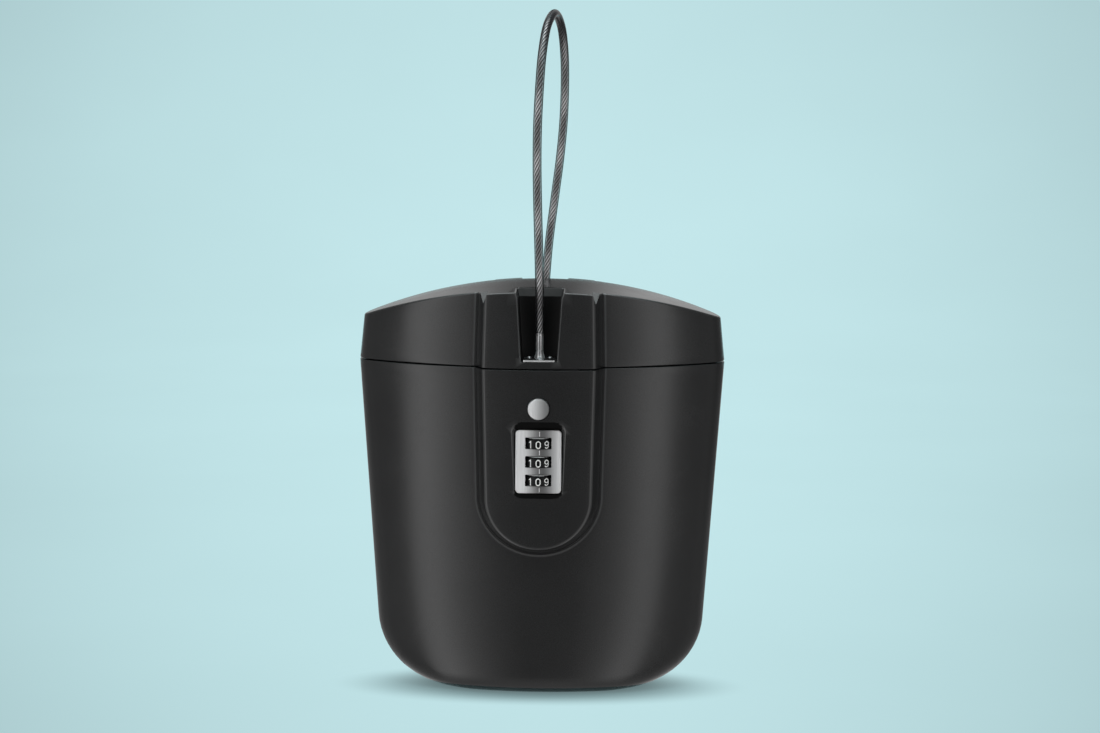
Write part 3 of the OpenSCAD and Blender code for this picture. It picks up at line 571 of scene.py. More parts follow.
def tube(path, radius, sides):
    """A closed tube along a path."""
    side = Vector((1, 0, 0)) if abs((path[1] - path[0]).normalized().x) < 0.9 else Vector((0, 1, 0))
    rings = []
    for point, side, up in frames(path, side):
        rings.append([point + radius * (side * math.cos(a) + up * math.sin(a))
                      for a in (2 * math.pi * k / sides for k in range(sides))])
    return loft(rings)


def spun(profile, steps, ring=False):
    """A profile of radii and heights swept around Z; the profile of a ring is closed."""
    bm = bmesh.new()
    verts = [bm.verts.new((r, 0, h)) for r, h in profile]
    ends = verts[1:] + (verts[:1] if ring else [])
    edges = [bm.edges.new(pair) for pair in zip(verts, ends)]
    bmesh.ops.spin(bm, geom=verts + edges, cent=(0, 0, 0), axis=(0, 0, 1), angle=2 * math.pi, steps=steps,
                   use_merge=True, use_duplicate=False)
    return bm


def turned(profile, origin, axis="Z", steps=48):
    """A solid of revolution: the profile lists radius and place along the axis."""
    bm = close(spun(profile, steps))
    if axis != "Z":
        degrees, about = (90, "Y") if axis == "X" else (-90, "X")
        turn = Matrix.Rotation(math.radians(degrees), 3, about)
        bmesh.ops.rotate(bm, verts=bm.verts, cent=(0, 0, 0), matrix=turn)
    bmesh.ops.translate(bm, verts=bm.verts, vec=origin)
    return bm


def stepped(r, h, *steps):
    """Points of a profile, each so many millimetres off a radius and a place along the axis."""
    return [(r + a * MM, h + b * MM) for a, b in steps]


def rod(r, low, high, origin, axis="X"):
    """A plain cylinder from low to high along its axis."""
    return turned([(0, low), (r, low), (r, high), (0, high)], origin, axis, 32)


def shift_new(bm, made, vec):
    """Moves the points that an extrusion has made."""
    bmesh.ops.translate(bm, verts=[v for v in made["geom"] if isinstance(v, bmesh.types.BMVert)], vec=vec)


def face_outwards(bm, axis):
    """Turns the faces of an open skin outwards, judged by the face that lies farthest along an axis."""
    bmesh.ops.recalc_face_normals(bm, faces=bm.faces)
    far = max(bm.faces, key=lambda f: f.calc_center_median()[axis])
    if far.normal[axis] < 0:
        bmesh.ops.reverse_faces(bm, faces=bm.faces)


def block(low, high, bevel=0.0):
    """A box between two corners, with rounded edges if asked."""
    bm = bmesh.new()
    bmesh.ops.create_cube(bm, size=1.0)
    low, high = Vector(low), Vector(high)
    for v in bm.verts:
        v.co = Vector(lerp(low[i], high[i], v.co[i] + 0.5) for i in range(3))
    if bevel:
        bmesh.ops.bevel(bm, geom=list(bm.edges), offset=bevel, segments=2, profile=0.5, affect="EDGES",
                        material=-1)
    return bm


def prism(outline, low, high, axis="X", bevel=0.0):
    """A flat outline drawn out along an axis; its points are (y, z) along X and (x, y) along Z."""
    bm = bmesh.new()
    place = (lambda p: (low, p[0], p[1])) if axis == "X" else (lambda p: (p[0], p[1], low))
    face = bm.faces.new([bm.verts.new(place(p)) for p in outline])
    shift = Vector((high - low, 0, 0)) if axis == "X" else Vector((0, 0, high - low))
    shift_new(bm, bmesh.ops.extrude_face_region(bm, geom=[face]), shift)
    bmesh.ops.recalc_face_normals(bm, faces=bm.faces)
    if bevel:
        sharp = [e for e in bm.edges if e.calc_face_angle(0) > SHARP]
        bmesh.ops.bevel(bm, geom=sharp, offset=bevel, segments=2, profile=0.5, affect="EDGES", material=-1)
    return bm


def arc(cx, cy, radius, start, end, steps):
    """Points of an arc, with its angles in degrees."""
    return [(cx + radius * math.cos(math.radians(lerp(start, end, i / steps))),
             cy + radius * math.sin(math.radians(lerp(start, end, i / steps)))) for i in range(steps + 1)]


def rounded_box(half_w, half_h, r, steps):
    """Outline of an upright rounded rectangle around the middle, anticlockwise."""
    out = []
    for sx, sy, start in ((1, 1, 0), (-1, 1, 90), (-1, -1, 180), (1, -1, 270)):
        out += arc(sx * (half_w - r), sy * (half_h - r), r, start, start + 90, steps)
    return out


def join(*parts):
    """One bmesh out of several."""
    out = bmesh.new()
    for part in parts:
        mesh = bpy.data.meshes.new("joined")
        part.to_mesh(mesh)
        part.free()
        out.from_mesh(mesh)
        bpy.data.meshes.remove(mesh)
    return out


def solid(bm, name="tool"):
    """An object from a bmesh."""
    mesh = bpy.data.meshes.new(name)
    bm.to_mesh(mesh)
    bm.free()
    obj = bpy.data.objects.new(name, mesh)
    bpy.context.scene.collection.objects.link(obj)
    return obj


def taken(obj):
    """The bmesh of an object, which goes."""
    bm = bmesh.new()
    bm.from_mesh(obj.data)
    bpy.data.objects.remove(obj)
    return bm


def shown(obj):
    """A new mesh of an object as it shows, with its modifiers or its bevel."""
    bpy.context.view_layer.update()
    return bpy.data.meshes.new_from_object(obj.evaluated_get(bpy.context.evaluated_depsgraph_get()))


def settle(obj):
    """Puts an object's modifiers into its mesh."""
    mesh, old = shown(obj), obj.data
    if not mesh.polygons:
        raise RuntimeError("nothing is left of " + obj.name)
    obj.modifiers.clear()
    obj.data = mesh
    bpy.data.meshes.remove(old)


def carve(obj, bm, operation="DIFFERENCE"):
    """Cuts a bmesh out of an object, or adds it."""
    tool = solid(bm)
    change = obj.modifiers.new("carve", "BOOLEAN")
    change.object, change.operation, change.solver = tool, operation, "EXACT"
    settle(obj)
    spent = tool.data
    bpy.data.objects.remove(tool)
    bpy.data.meshes.remove(spent)


def soften(obj, width):
    """Rounds the sharp edges of an object a little."""
    tidy_mesh(obj)
    change = obj.modifiers.new("soften", "BEVEL")
    change.width, change.segments, change.limit_method = width, 2, "ANGLE"
    change.angle_limit = SHARP
    settle(obj)


def cross_screw(head_r, head_h, shank_r, shank_l):
    """A pan-head screw with a cross recess; its head points down and its shank up from zero."""
    profile = [(0, -head_h), (head_r * 0.55, -head_h), (head_r * 0.85, -head_h * 0.82),
               (head_r, -head_h * 0.45), (head_r, 0), (shank_r, 0), (shank_r, shank_l - shank_r),
               (0, shank_l)]
    screw = solid(turned(profile, (0, 0, 0), "Z", 32))
    arm, half = head_r * 0.62, head_r * 0.14
    for x, y in ((arm, half), (half, arm)):
        carve(screw, block((-x, -y, -head_h - PAST), (x, y, -head_h * 0.45)))
    tidy_mesh(screw)
    return screw


def copies(obj, places):
    """Copies of an object in one bmesh; the object itself goes."""
    out = bmesh.new()
    for place in places:
        have = len(out.verts)
        out.from_mesh(obj.data)
        out.verts.ensure_lookup_table()
        bmesh.ops.transform(out, matrix=place, verts=out.verts[have:])
    bpy.data.objects.remove(obj)
    return out


def tidy_mesh(obj):
    """Welds what a cut left almost together."""
    bm = bmesh.new()
    bm.from_mesh(obj.data)
    bmesh.ops.remove_doubles(bm, verts=bm.verts, dist=CUT_WELD)
    bmesh.ops.dissolve_degenerate(bm, dist=CUT_WELD / 2, edges=bm.edges)
    bm.to_mesh(obj.data)
    bm.free()


def mark_wear(obj, worn, reach=0.4 * MM):
    """Gives each vertex the painted edge highlight of the nearest of some points, which count for all
    quarters of the plan.
    """
    tree = KDTree(len(worn))
    for i, (point, _) in enumerate(worn):
        tree.insert((abs(point.x), abs(point.y), point.z), i)
    tree.balance()
    wear = obj.data.attributes.new("wear", "FLOAT", "POINT")
    for v in obj.data.vertices:
        _, i, gap = tree.find((abs(v.co.x), abs(v.co.y), v.co.z))
        wear.data[v.index].value = worn[i][1] * max(0.0, 1 - gap / reach)


def piece(made, name, body, slot, stands_for=(), looks=None):
    """Names a piece, gives it its looks or that of its slot, smooths it and lets it ride on its body."""
    obj = solid(made, name) if isinstance(made, bmesh.types.BMesh) else made
    obj.name = obj.data.name = name
    for look in looks or [slot]:
        obj.data.materials.append(finishes()[look])
    obj.data.shade_smooth()
    obj.data.set_sharp_from_angle(angle=CREASE)
    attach(obj, body)
    if stands_for:
        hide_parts(*stands_for)
    return obj


def node(tree, kind, settings=None, **sockets):
    """A shader node with its settings; a socket takes a number, a colour or another node's output."""
    made = tree.nodes.new(kind)
    for name, value in (settings or {}).items():
        setattr(made, name, value)
    for name, value in sockets.items():
        key = int(name[1:]) if name[0] == "_" else name.replace("_", " ")
        if isinstance(value, bpy.types.NodeSocket):
            tree.links.new(value, made.inputs[key])
        else:
            made.inputs[key].default_value = value
    return made


def operated(tree, kind, operation, values):
    """The outputs of an operation on some values."""
    sockets = {"_" + str(i): value for i, value in enumerate(values)}
    return node(tree, kind, {"operation": operation}, **sockets).outputs


def sums(tree, operation, *values):
    """A product, a maximum or the like of some numbers."""
    return operated(tree, "ShaderNodeMath", operation, values)[0]


def vectors(tree, operation, *values):
    """The outputs of an operation on some vectors."""
    return operated(tree, "ShaderNodeVectorMath", operation, values)


def scaled(tree, vector, share):
    """A colour or vector made smaller or larger."""
    return node(tree, "ShaderNodeVectorMath", {"operation": "SCALE"}, _0=vector, Scale=share).outputs[0]


def ranged(tree, value, low, high, to_low, to_high, kind="LINEAR"):
    """A value led over from one range to another."""
    return node(tree, "ShaderNodeMapRange", {"interpolation_type": kind}, Value=value, From_Min=low,
                From_Max=high, To_Min=to_low, To_Max=to_high).outputs[0]


def blended(tree, share, first, second):
    """A colour between two."""
    return node(tree, "ShaderNodeMix", {"data_type": "RGBA"}, _0=share, _6=first, _7=second).outputs[2]


def noise(tree, place, scale, detail, rough=0.5):
    """Cloudy noise around a half."""
    return node(tree, "ShaderNodeTexNoise", Vector=place, Scale=scale, Detail=detail,
                Roughness=rough).outputs["Fac"]


def here(tree):
    """The place on the object."""
    return node(tree, "ShaderNodeTexCoord").outputs["Object"]


def facing(tree):
    """How far a surface turns away from the view."""
    return node(tree, "ShaderNodeLayerWeight", Blend=0.5).outputs["Facing"]


def mesh_value(tree, name):
    """A value that the mesh carries."""
    return node(tree, "ShaderNodeAttribute", {"attribute_name": name}).outputs["Fac"]


def show_mix(tree, share, first, second):
    """Leads a mix of two shaders to the material's output."""
    mix = node(tree, "ShaderNodeMixShader", _0=share, _1=first, _2=second)
    tree.links.new(mix.outputs[0], tree.nodes["Material Output"].inputs["Surface"])


def grain(tree, scale):
    """Fine moulded grain: its tone, its scuffs with the range they run over, and its height."""
    place = here(tree)
    fine = noise(tree, place, scale, 3.0, 0.6)
    cloud = noise(tree, place, 42.0, 5.0, 0.62)
    scuff = noise(tree, place, 310.0, 4.0, 0.7)
    tone = sums(tree, "MULTIPLY", *(ranged(tree, value, 0.3, 0.7, 0.9, 1.1) for value in (cloud, fine)))
    return tone, sums(tree, "MULTIPLY_ADD", scuff, 0.6, cloud), (0.55, 1.05), fine


def brush_lines(tree, stretch):
    """Lines along one direction: their tone, their stains with the range they run over, and their height."""
    place = here(tree)
    lines = noise(tree, vectors(tree, "MULTIPLY", place, stretch)[0], 1.0, 4.0, 0.65)
    stain = noise(tree, place, 180.0, 3.0, 0.6)
    tone = ranged(tree, lines, 0.25, 0.75, 0.86, 1.08)
    return tone, sums(tree, "MULTIPLY_ADD", stain, 0.5, lines), (0.5, 1.0), lines


def finish_group(name, extra, kind, pattern):
    """A shader node group, made once: a colour, an extra value for the pattern and two ends of roughness
    come in, and a colour, a roughness and a height go out."""
    tree = bpy.data.node_groups.get(name)
    if tree:
        return tree
    tree = bpy.data.node_groups.new(name, "ShaderNodeTree")
    number, tint = "NodeSocketFloat", "NodeSocketColor"
    sockets = {"INPUT": (("Colour", tint), (extra, kind), ("Smooth", number), ("Matt", number)),
               "OUTPUT": (("Colour", tint), ("Roughness", number), ("Height", number))}
    for way, labels in sockets.items():
        for label, socket in labels:
            tree.interface.new_socket(name=label, in_out=way, socket_type=socket)
    given, result = tree.nodes.new("NodeGroupInput").outputs, tree.nodes.new("NodeGroupOutput").inputs
    tone, worn, reach, height = pattern(tree, given[extra])
    rough = ranged(tree, worn, *reach, given["Smooth"], given["Matt"])
    tree.links.new(scaled(tree, given["Colour"], tone), result["Colour"])
    tree.links.new(rough, result["Roughness"])
    tree.links.new(height, result["Height"])
    return tree


# Groups of the plastics and of the metals: name, extra value with its kind, and pattern
GRAIN = ("moulded grain", "Grain", "NodeSocketFloat", grain)
BRUSHING = ("brushed lines", "Stretch", "NodeSocketVector", brush_lines)


def blank_material(name):
    """A new material, and its tree and shader."""
    material = bpy.data.materials.new(name)
    material.use_nodes = True
    return material, material.node_tree, material.node_tree.nodes["Principled BSDF"]


def finished(name, group, depth, distance, **sockets):
    """A new material that takes its colour, roughness and bump from a group, with its tree and shader."""
    material, tree, shader = blank_material(name)
    given = node(tree, "ShaderNodeGroup", {"node_tree": finish_group(*group)}, **sockets).outputs
    bump = node(tree, "ShaderNodeBump", Strength=depth, Distance=distance, Height=given["Height"])
    tree.links.new(given["Colour"], shader.inputs["Base Color"])
    tree.links.new(given["Roughness"], shader.inputs["Roughness"])
    tree.links.new(bump.outputs["Normal"], shader.inputs["Normal"])
    return material, tree, shader, given["Colour"]


def made_once(make):
    """Lets a function that makes a material give the one of that name when there is one."""
    def give(name, *values):
        """The material of that name."""
        return bpy.data.materials.get(name) or make(name, *values)
    return give


@made_once
def moulded(name, rgb, smooth, matt, scale, depth=0.25, specular=0.5, edge=None):
    """A moulded plastic with a fine grain, which goes over to a lighter edge colour where the mesh carries
    painted edge highlight.
    """
    material, tree, shader, tint = finished(name, GRAIN, depth, 0.05 * MM, Colour=(*rgb, 1), Grain=scale,
                                            Smooth=smooth, Matt=matt)
    shader.inputs["Specular IOR Level"].default_value = specular
    # Painted highlight: the colour turns to the edge colour by the mesh's edge light value
    if edge:
        tint = blended(tree, mesh_value(tree, "wear"), tint, (*edge, 1))
        tree.links.new(tint, shader.inputs["Base Color"])
    return material


def between_strands(tree):
    """Factor that is low where the strands of a rope face into it, by the outer value of its mesh: painted
    shade between the strands.
    """
    return ranged(tree, mesh_value(tree, "outer"), 0.4, 1.0, 0.02, 1.0)


def darker_facing(tree):
    """Factor that is low where a surface faces the view: a painted dark reflection in the middle of a bright
    pin in a dark hollow.
    """
    return ranged(tree, facing(tree), 0.0, 0.06, 0.2, 1.0)


def sheen_across(left, right, middle):
    """Gives a function that makes a factor of 1 out at left and right and of middle halfway, along X: a
    painted sheen that leaves the sides bright and darkens the middle.
    """
    def shade(tree):
        """The factor as a node's output."""
        x = node(tree, "ShaderNodeSeparateXYZ", Vector=here(tree)).outputs["X"]
        away = sums(tree, "ABSOLUTE", ranged(tree, x, left, right, -1.0, 1.0))
        return ranged(tree, away, 0.0, 1.0, middle, 1.0, "SMOOTHSTEP")
    return shade


@made_once
def brushed(name, rgb, stretch, smooth, matt, depth=0.15, shade=None, sheen=0.0):
    """A brushed or drawn metal, whose colour a painted light factor may scale, for painted sheen, reflection
    or shade, and whose sides a sheen may lighten.
    """
    material, tree, shader, tint = finished(name, BRUSHING, depth, 0.03 * MM, Colour=(*rgb, 1),
                                            Stretch=stretch, Smooth=smooth, Matt=matt)
    shader.inputs["Metallic"].default_value = 1.0
    shader.inputs["Sheen Weight"].default_value = sheen
    if shade:
        tree.links.new(scaled(tree, tint, shade(tree)), shader.inputs["Base Color"])
    return material


@made_once
def clear_coat(name, rgb):
    """A clear coat that looks denser where it is seen edge on."""
    material, tree, shader, _ = finished(name, GRAIN, 0.1, 0.03 * MM, Colour=(*rgb, 1), Grain=900.0,
                                         Smooth=0.12, Matt=0.24)
    shader.inputs["Specular IOR Level"].default_value = 0.12
    tree.links.new(ranged(tree, facing(tree), 0.24, 0.5, 0.03, 0.92), shader.inputs["Alpha"])
    return material


def finishes():
    """The materials of the safe by their slots and looks."""
    f = bpy.context.scene.travel_safe.finish
    upright = (2600.0, 2600.0, 60.0)
    return {
        # The case plastic turns to a lighter colour along rounded edges as painted highlight
        "case_plastic": moulded("charcoal case plastic", f.case, 0.18, 0.24, 2600.0, 0.05, 0.5, f.case_edge),
        # The recess and pocket plastics are darker copies of the case plastic, for painted shade
        "recess_plastic": moulded("matt recess plastic", f.recess, 0.5, 0.62, 1600.0, 0.1, 0.2),
        "pocket_plastic": moulded("matt pocket plastic", f.pocket, 0.55, 0.7, 1600.0, 0.1, 0.1),
        "liner_plastic": moulded("matt liner plastic", f.liner, 0.5, 0.62, 1600.0),
        "lock_plastic": moulded("black lock plastic", f.lock, 0.45, 0.58, 1800.0),
        "dial_plastic": moulded("black dial plastic", f.dial, 0.28, 0.38, 3000.0, 0.1, 0.15),
        # The dial edge colour is a painted highlight line
        "dial_edge": moulded("worn dial edge", f.dial_edge, 0.35, 0.5, 3000.0, 0.1),
        "numbers": moulded("white number paint", f.numbers, 0.45, 0.6, 3000.0, 0.1),
        # The plate is darker in its middle and the button towards its right, as painted reflection
        "satin_metal": brushed("satin silver", f.metal, upright, 0.68, 0.78, 0.06,
                               sheen_across(-7.7 * MM, 11.3 * MM, 0.25)),
        "button_metal": brushed("button silver", f.metal, (2600.0, 2600.0, 90.0), 0.72, 0.82, 0.05,
                                sheen_across(-4 * MM, 14 * MM, 0.33)),
        # The index metal also serves as painted highlight on the anchor plates' sides
        "index_metal": brushed("bright index line", f.metal, upright, 0.5, 0.6, 0.05),
        # The turned metal is darker where it faces the view, as painted dark reflection
        "turned_metal": brushed("turned silver", f.metal, (300.0, 300.0, 600.0), 0.36, 0.4, 0.004,
                                darker_facing, 1.0),
        "plate_metal": brushed("anchor plate steel", f.steel, (600.0, 600.0, 600.0), 0.18, 0.26, 0.05),
        "steel": brushed("zinc-plated steel", f.steel, (700.0, 700.0, 700.0), 0.3, 0.48),
        "spring_steel": brushed("drawn spring steel", f.steel, (900.0, 900.0, 900.0), 0.25, 0.4),
        # The cable wire is darker between its strands, as painted shade
        "cable_steel": brushed("cable wire", f.strand, (1800.0, 1800.0, 500.0), 0.3, 0.48, 0.2,
                               between_strands),
        "cable_coat": clear_coat("smoke-grey cable coat", f.coat),
    }


def mouth(outline, floor_y, surface, flare, r, depth_beyond, worn=None):
    """A cutter with a rounded mouth: rings of (x, z) points from its floor to past the surface it opens in.
    The rounding ends a little outside the surface, so that the two never lie flat on each other.
    The points of its two sides, with their painted highlight, are added to a list of highlit points if there
    is one."""
    floor = [Vector((x, floor_y, z)) for x, z in outline(0.0)]
    middle = sum(floor, Vector()) / len(floor)
    rim, out = [], []
    for i in range(len(floor)):
        s = flare
        for _ in range(8):
            x, z = outline(s)[i]
            s = floor_y - surface(x, z)
        corner = Vector((x, surface(x, z), z))
        back = outline(max(0.0, s - r))[i]
        start = Vector((back[0], corner.y + min(r, s), back[1]))
        end = corner + Vector((x - middle.x, 0, z - middle.z)).normalized() * r
        end.y = surface(end.x, end.z) - MOUTH_LIFT * r
        rim.append(rounded_corner(start, corner, end, 4))
        out.append(Vector((end.x, end.y - depth_beyond, end.z)))
    # Painted highlight on the rounded mouth, strongest on its two sides and fading towards top and bottom
    if worn is not None:
        widest = max(abs(points[2].x - middle.x) for points in rim)
        for points in rim:
            side = (abs(points[2].x - middle.x) / widest) ** 8
            worn += [(v, w * side) for v, w in zip(points, (0.0, 0.7, 1.0, 0.7, 0.0))]
    return loft([floor] + [[points[j] for points in rim] for j in range(5)] + [out])


def round_open_edge(bm, z_step, r):
    """Rounds the open edge of a skin towards its inside, up or down."""
    level = max(v.co.z for v in bm.verts) if z_step > 0 else min(v.co.z for v in bm.verts)
    edges = [e for e in bm.edges if e.is_boundary and all(abs(v.co.z - level) < 1e-6 for v in e.verts)]
    normals = {}
    for e in edges:
        n = e.link_faces[0].normal
        for v in e.verts:
            normals[v] = normals.get(v, Vector((0, 0, 0))) + Vector((n.x, n.y, 0))
    base = {v: (v.co.copy(), n.normalized()) for v, n in normals.items()}
    for turn in (30, 60, 90):
        a = math.radians(turn)
        made = bmesh.ops.extrude_edge_only(bm, edges=edges)["geom"]
        fresh = {v for v in made if isinstance(v, bmesh.types.BMVert)}
        moved = {}
        for v in fresh:
            source = next(e.other_vert(v) for e in v.link_edges if e.other_vert(v) in base)
            moved[v] = base[source]
        for v, (co, n) in moved.items():
            v.co = co - n * r * (1 - math.cos(a)) + Vector((0, 0, z_step * r * math.sin(a)))
        base = moved
        edges = [e for e in made if isinstance(e, bmesh.types.BMEdge) and all(v in fresh for v in e.verts)]


def knuckle(form, x0, x1, root, up):
    """One hinge knuckle: a barrel with the web that carries it, up to the lid or down to the tub."""
    y, z = form.hinge_y, form.case.rim_z
    if up:
        low = form.lid_z + 0.3 * MM
        outline = [(root, low)] + arc(y, z, KNUCKLE_R, 165, 400, 20)
        outline += [(form.panel_y - 1.4 * MM, low + WEB_H), (root, low + WEB_H)]
    else:
        outline = [(root, z - WEB_H), (form.panel_y - 1 * MM, z - WEB_H)]
        outline += arc(y, z, KNUCKLE_R, -40, 180, 20) + [(root, z)]
    return prism(outline, x0, x1, "X", 0.25 * MM)


def hinge_half(obj, form, rooms, knuckles, roots, up):
    """Clears the rooms for the other half's knuckles, adds its own and bores the hole for the pin."""
    y, z = form.hinge_y, form.case.rim_z
    for x, half in rooms:
        carve(obj, rod(ROOM_R, -half * MM, half * MM, (x * MM, y, z)))
    for (x0, x1), root in zip(knuckles, roots):
        carve(obj, knuckle(form, x0 * MM, x1 * MM, root, up), "UNION")
    carve(obj, rod(PIN_HOLE_R, -PIN_HOLE_HALF, PIN_HOLE_HALF, (0, y, z)))


class SafeOperator:
    """What the build steps share."""
    bl_options = {"REGISTER", "UNDO"}

    def execute(self, context):
        self.build(SafeForm())
        return {"FINISHED"}


class SAFE_OT_cable(SafeOperator, bpy.types.Operator):
    """Lays the coated cable loop and its twisted strands along the route"""
    bl_idname = "safe.cable"
    bl_label = "Cable loop"

    def build(self, form):
        b = form.cable
        route = [Vector((x * MM, y * form.anchor_y, z * MM + form.ferrule_z)) for x, y, z in CABLE_ROUTE]
        path = []
        for i in range(len(route) - 1):
            p0, p1 = route[max(i - 1, 0)], route[i]
            p2, p3 = route[i + 1], route[min(i + 2, len(route) - 1)]
            for k in range(ROUTE_STEPS):
                t = k / ROUTE_STEPS
                path.append(0.5 * (2 * p1 + (p2 - p0) * t + (2 * p0 - 5 * p1 + 4 * p2 - p3) * t * t
                                   + (3 * p1 - p0 - 3 * p2 + p3) * t ** 3))
        path.append(route[-1])
        run = [0.0]
        for before, after in zip(path, path[1:]):
            run.append(run[-1] + (after - before).length)

        def strand(phase):
            """One strand that winds around the path."""
            centres = []
            for (point, side, up), length_so_far in zip(frames(path, Vector((1, 0, 0))), run):
                turn = phase + 2 * math.pi * length_so_far / b.lay
                out = side * math.cos(turn) + up * math.sin(turn)
                centres.append(point + STRAND_OUT * b.strand_r * out)
            return tube(centres, b.strand_r, STRAND_SIDES)

        rope = [strand(2 * math.pi * k / b.strands) for k in range(b.strands)]
        rope.append(tube(path[::4] + [path[-1]], b.strand_r, STRAND_SIDES))
        strands = piece(join(*rope), "cable_strands", "lid", "cable_steel")
        # Outer value of the strands' points, low where a strand faces into the rope; the cable wire darkens
        # by it as painted shade between the strands
        outer = strands.data.attributes.new("outer", "FLOAT", "POINT")
        for i, v in enumerate(strands.data.vertices[:b.strands * STRAND_SIDES * len(path)]):
            k = i // STRAND_SIDES % len(path)
            gap = min((v.co - p).length for p in path[max(0, k - 2):k + 3])
            outer.data[i].value = min(1.0, max(0.0, (gap / b.strand_r - OUTER_FROM) / OUTER_SPAN))
        coat = piece(tube(path[::3] + [path[-1]], b.radius, 20), "cable_coat", "lid", "cable_steel",
                     ["security_cable"], ["cable_coat"])


class SAFE_OT_tub(SafeOperator, bpy.types.Operator):
    """Moulds the tub with its raised panels, lock pocket, button hole and hinge knuckles"""
    bl_idname = "safe.tub"
    bl_label = "Tub"

    def build(self, form):
        c, k = form.case, form.lock
        bm = bmesh.new()
        rows = form.tub_front()
        # Painted highlight along the panel's edge and the lip of its groove, and later along the sides of the
        # plate's pocket
        worn = [(v, BAND_HIGHLIGHT.get(i, 0.0)) for row in rows for i, v in enumerate(row)]
        skin(bm, rows)
        bmesh.ops.mirror(bm, geom=bm.verts[:] + bm.edges[:] + bm.faces[:], axis="Y", merge_dist=1e-6)
        bmesh.ops.remove_doubles(bm, verts=bm.verts, dist=WELD)
        bmesh.ops.dissolve_degenerate(bm, dist=WELD, edges=bm.edges)
        face_outwards(bm, 0)
        round_open_edge(bm, 1, c.edge_round)
        tub = solid(close(bm), "case_tub")
        # Inside of the tub
        t = c.wall
        levels = []
        for r, angles in ((c.foot_r, (0, 20, 40, 60, 75, 87)), (c.corner_r, (42, 50, 58, 66, 74, 86))):
            levels += [r - (r - t) * math.cos(math.radians(a)) for a in angles]
        levels += [c.rim_z, c.rim_z + 2 * MM]
        rings = []
        for z in levels:
            w, d = form.tub_w(min(z, c.rim_z), t), form.tub_d(min(z, c.rim_z), t)
            rings.append(form.plan(w, d, z))
        carve(tub, loft(rings))
        # Hollow behind the rear panel
        rings = []
        half, deep = form.hollow_half, c.half_depth - t - 6 * MM
        for z in (form.u_z, c.rim_z + PAST):
            ring = [Vector((half, deep, z)), Vector((-half, deep, z))]
            for i in range(13):
                x = lerp(-half, half, i / 12)
                ring.append(Vector((x, -form.tub_face(x, z) - t, z)))
            rings.append(ring)
        carve(tub, loft(rings))
        # Wells of the lock, the button and the keeper
        wide, back = k.half + 0.4 * MM, -c.half_depth / 2
        well_z = form.button_z - k.button_r - 1.8 * MM
        carve(tub, block((-wide, form.lock_y, form.lock_low_z - 1 * MM), (wide, back, well_z + 0.1 * MM)))
        carve(tub, block((-wide, form.well_y, well_z), (wide, back, c.rim_z + PAST)))
        half_w, half_h = k.plate_w / 2 + 0.3 * MM, k.plate_h / 2 + 0.3 * MM

        def pocket(s):
            """Outline of the plate's pocket at a distance before its floor."""
            steep, ahead = PLATE_SLOPE * min(s, k.plate_t), max(0.0, s - k.plate_t)
            shape = rounded_box(half_w + steep + SIDE_SLOPE * ahead, half_h + steep + END_SLOPE * ahead,
                                POCKET_R + steep + ahead, 6)
            return [(x, form.plate_z + (z if z > 0 else z - FOOT_SLOPE * ahead)) for x, z in shape]

        carve(tub, mouth(pocket, form.pocket_y, form.tub_face, 2.3 * MM, 0.5 * MM, 3 * MM, worn))
        chamber = k.dial_r + 0.8 * MM
        tall = k.dial_pitch + k.dial_t / 2 + 0.45 * MM
        carve(tub, block((-chamber, form.pocket_y - 0.5 * MM, form.plate_z - tall),
                         (chamber, form.lock_y + 1 * MM, form.plate_z + tall)))
        bore = k.button_r + 0.35 * MM

        def hole(s):
            """Outline of the button's hole, the same all the way."""
            return [(x, form.button_z + z) for x, z in arc(0, 0, bore, 0, 360 - 7.5, 47)]

        carve(tub, mouth(hole, form.well_y + 1 * MM, form.tub_face, 3.9 * MM, 0.35 * MM, 3 * MM))
        # Hinge
        middle, outer = form.panel_y - t + 0.6 * MM, c.half_depth + 1 * MM
        hinge_half(tub, form, TUB_ROOMS, TUB_KNUCKLES, (middle, outer, outer), False)
        tidy_mesh(tub)
        mark_wear(tub, worn)
        # Faces of the plate's pocket near the plate take the near-black pocket plastic: painted shade on its
        # slopes above and below the plate
        for face in tub.data.polygons:
            x, y, z = face.center
            rim = 0.04 * MM if z < form.plate_z - half_h else 0.2 * MM
            low = abs(x) < half_w and form.tub_face(x, z) + rim < y < form.lock_y
            face.material_index = int(low and abs(z - form.plate_z) < half_h + 4.0 * MM)
        piece(tub, "case_tub", "base", "case_plastic", ["body_shell"], ["case_plastic", "pocket_plastic"])


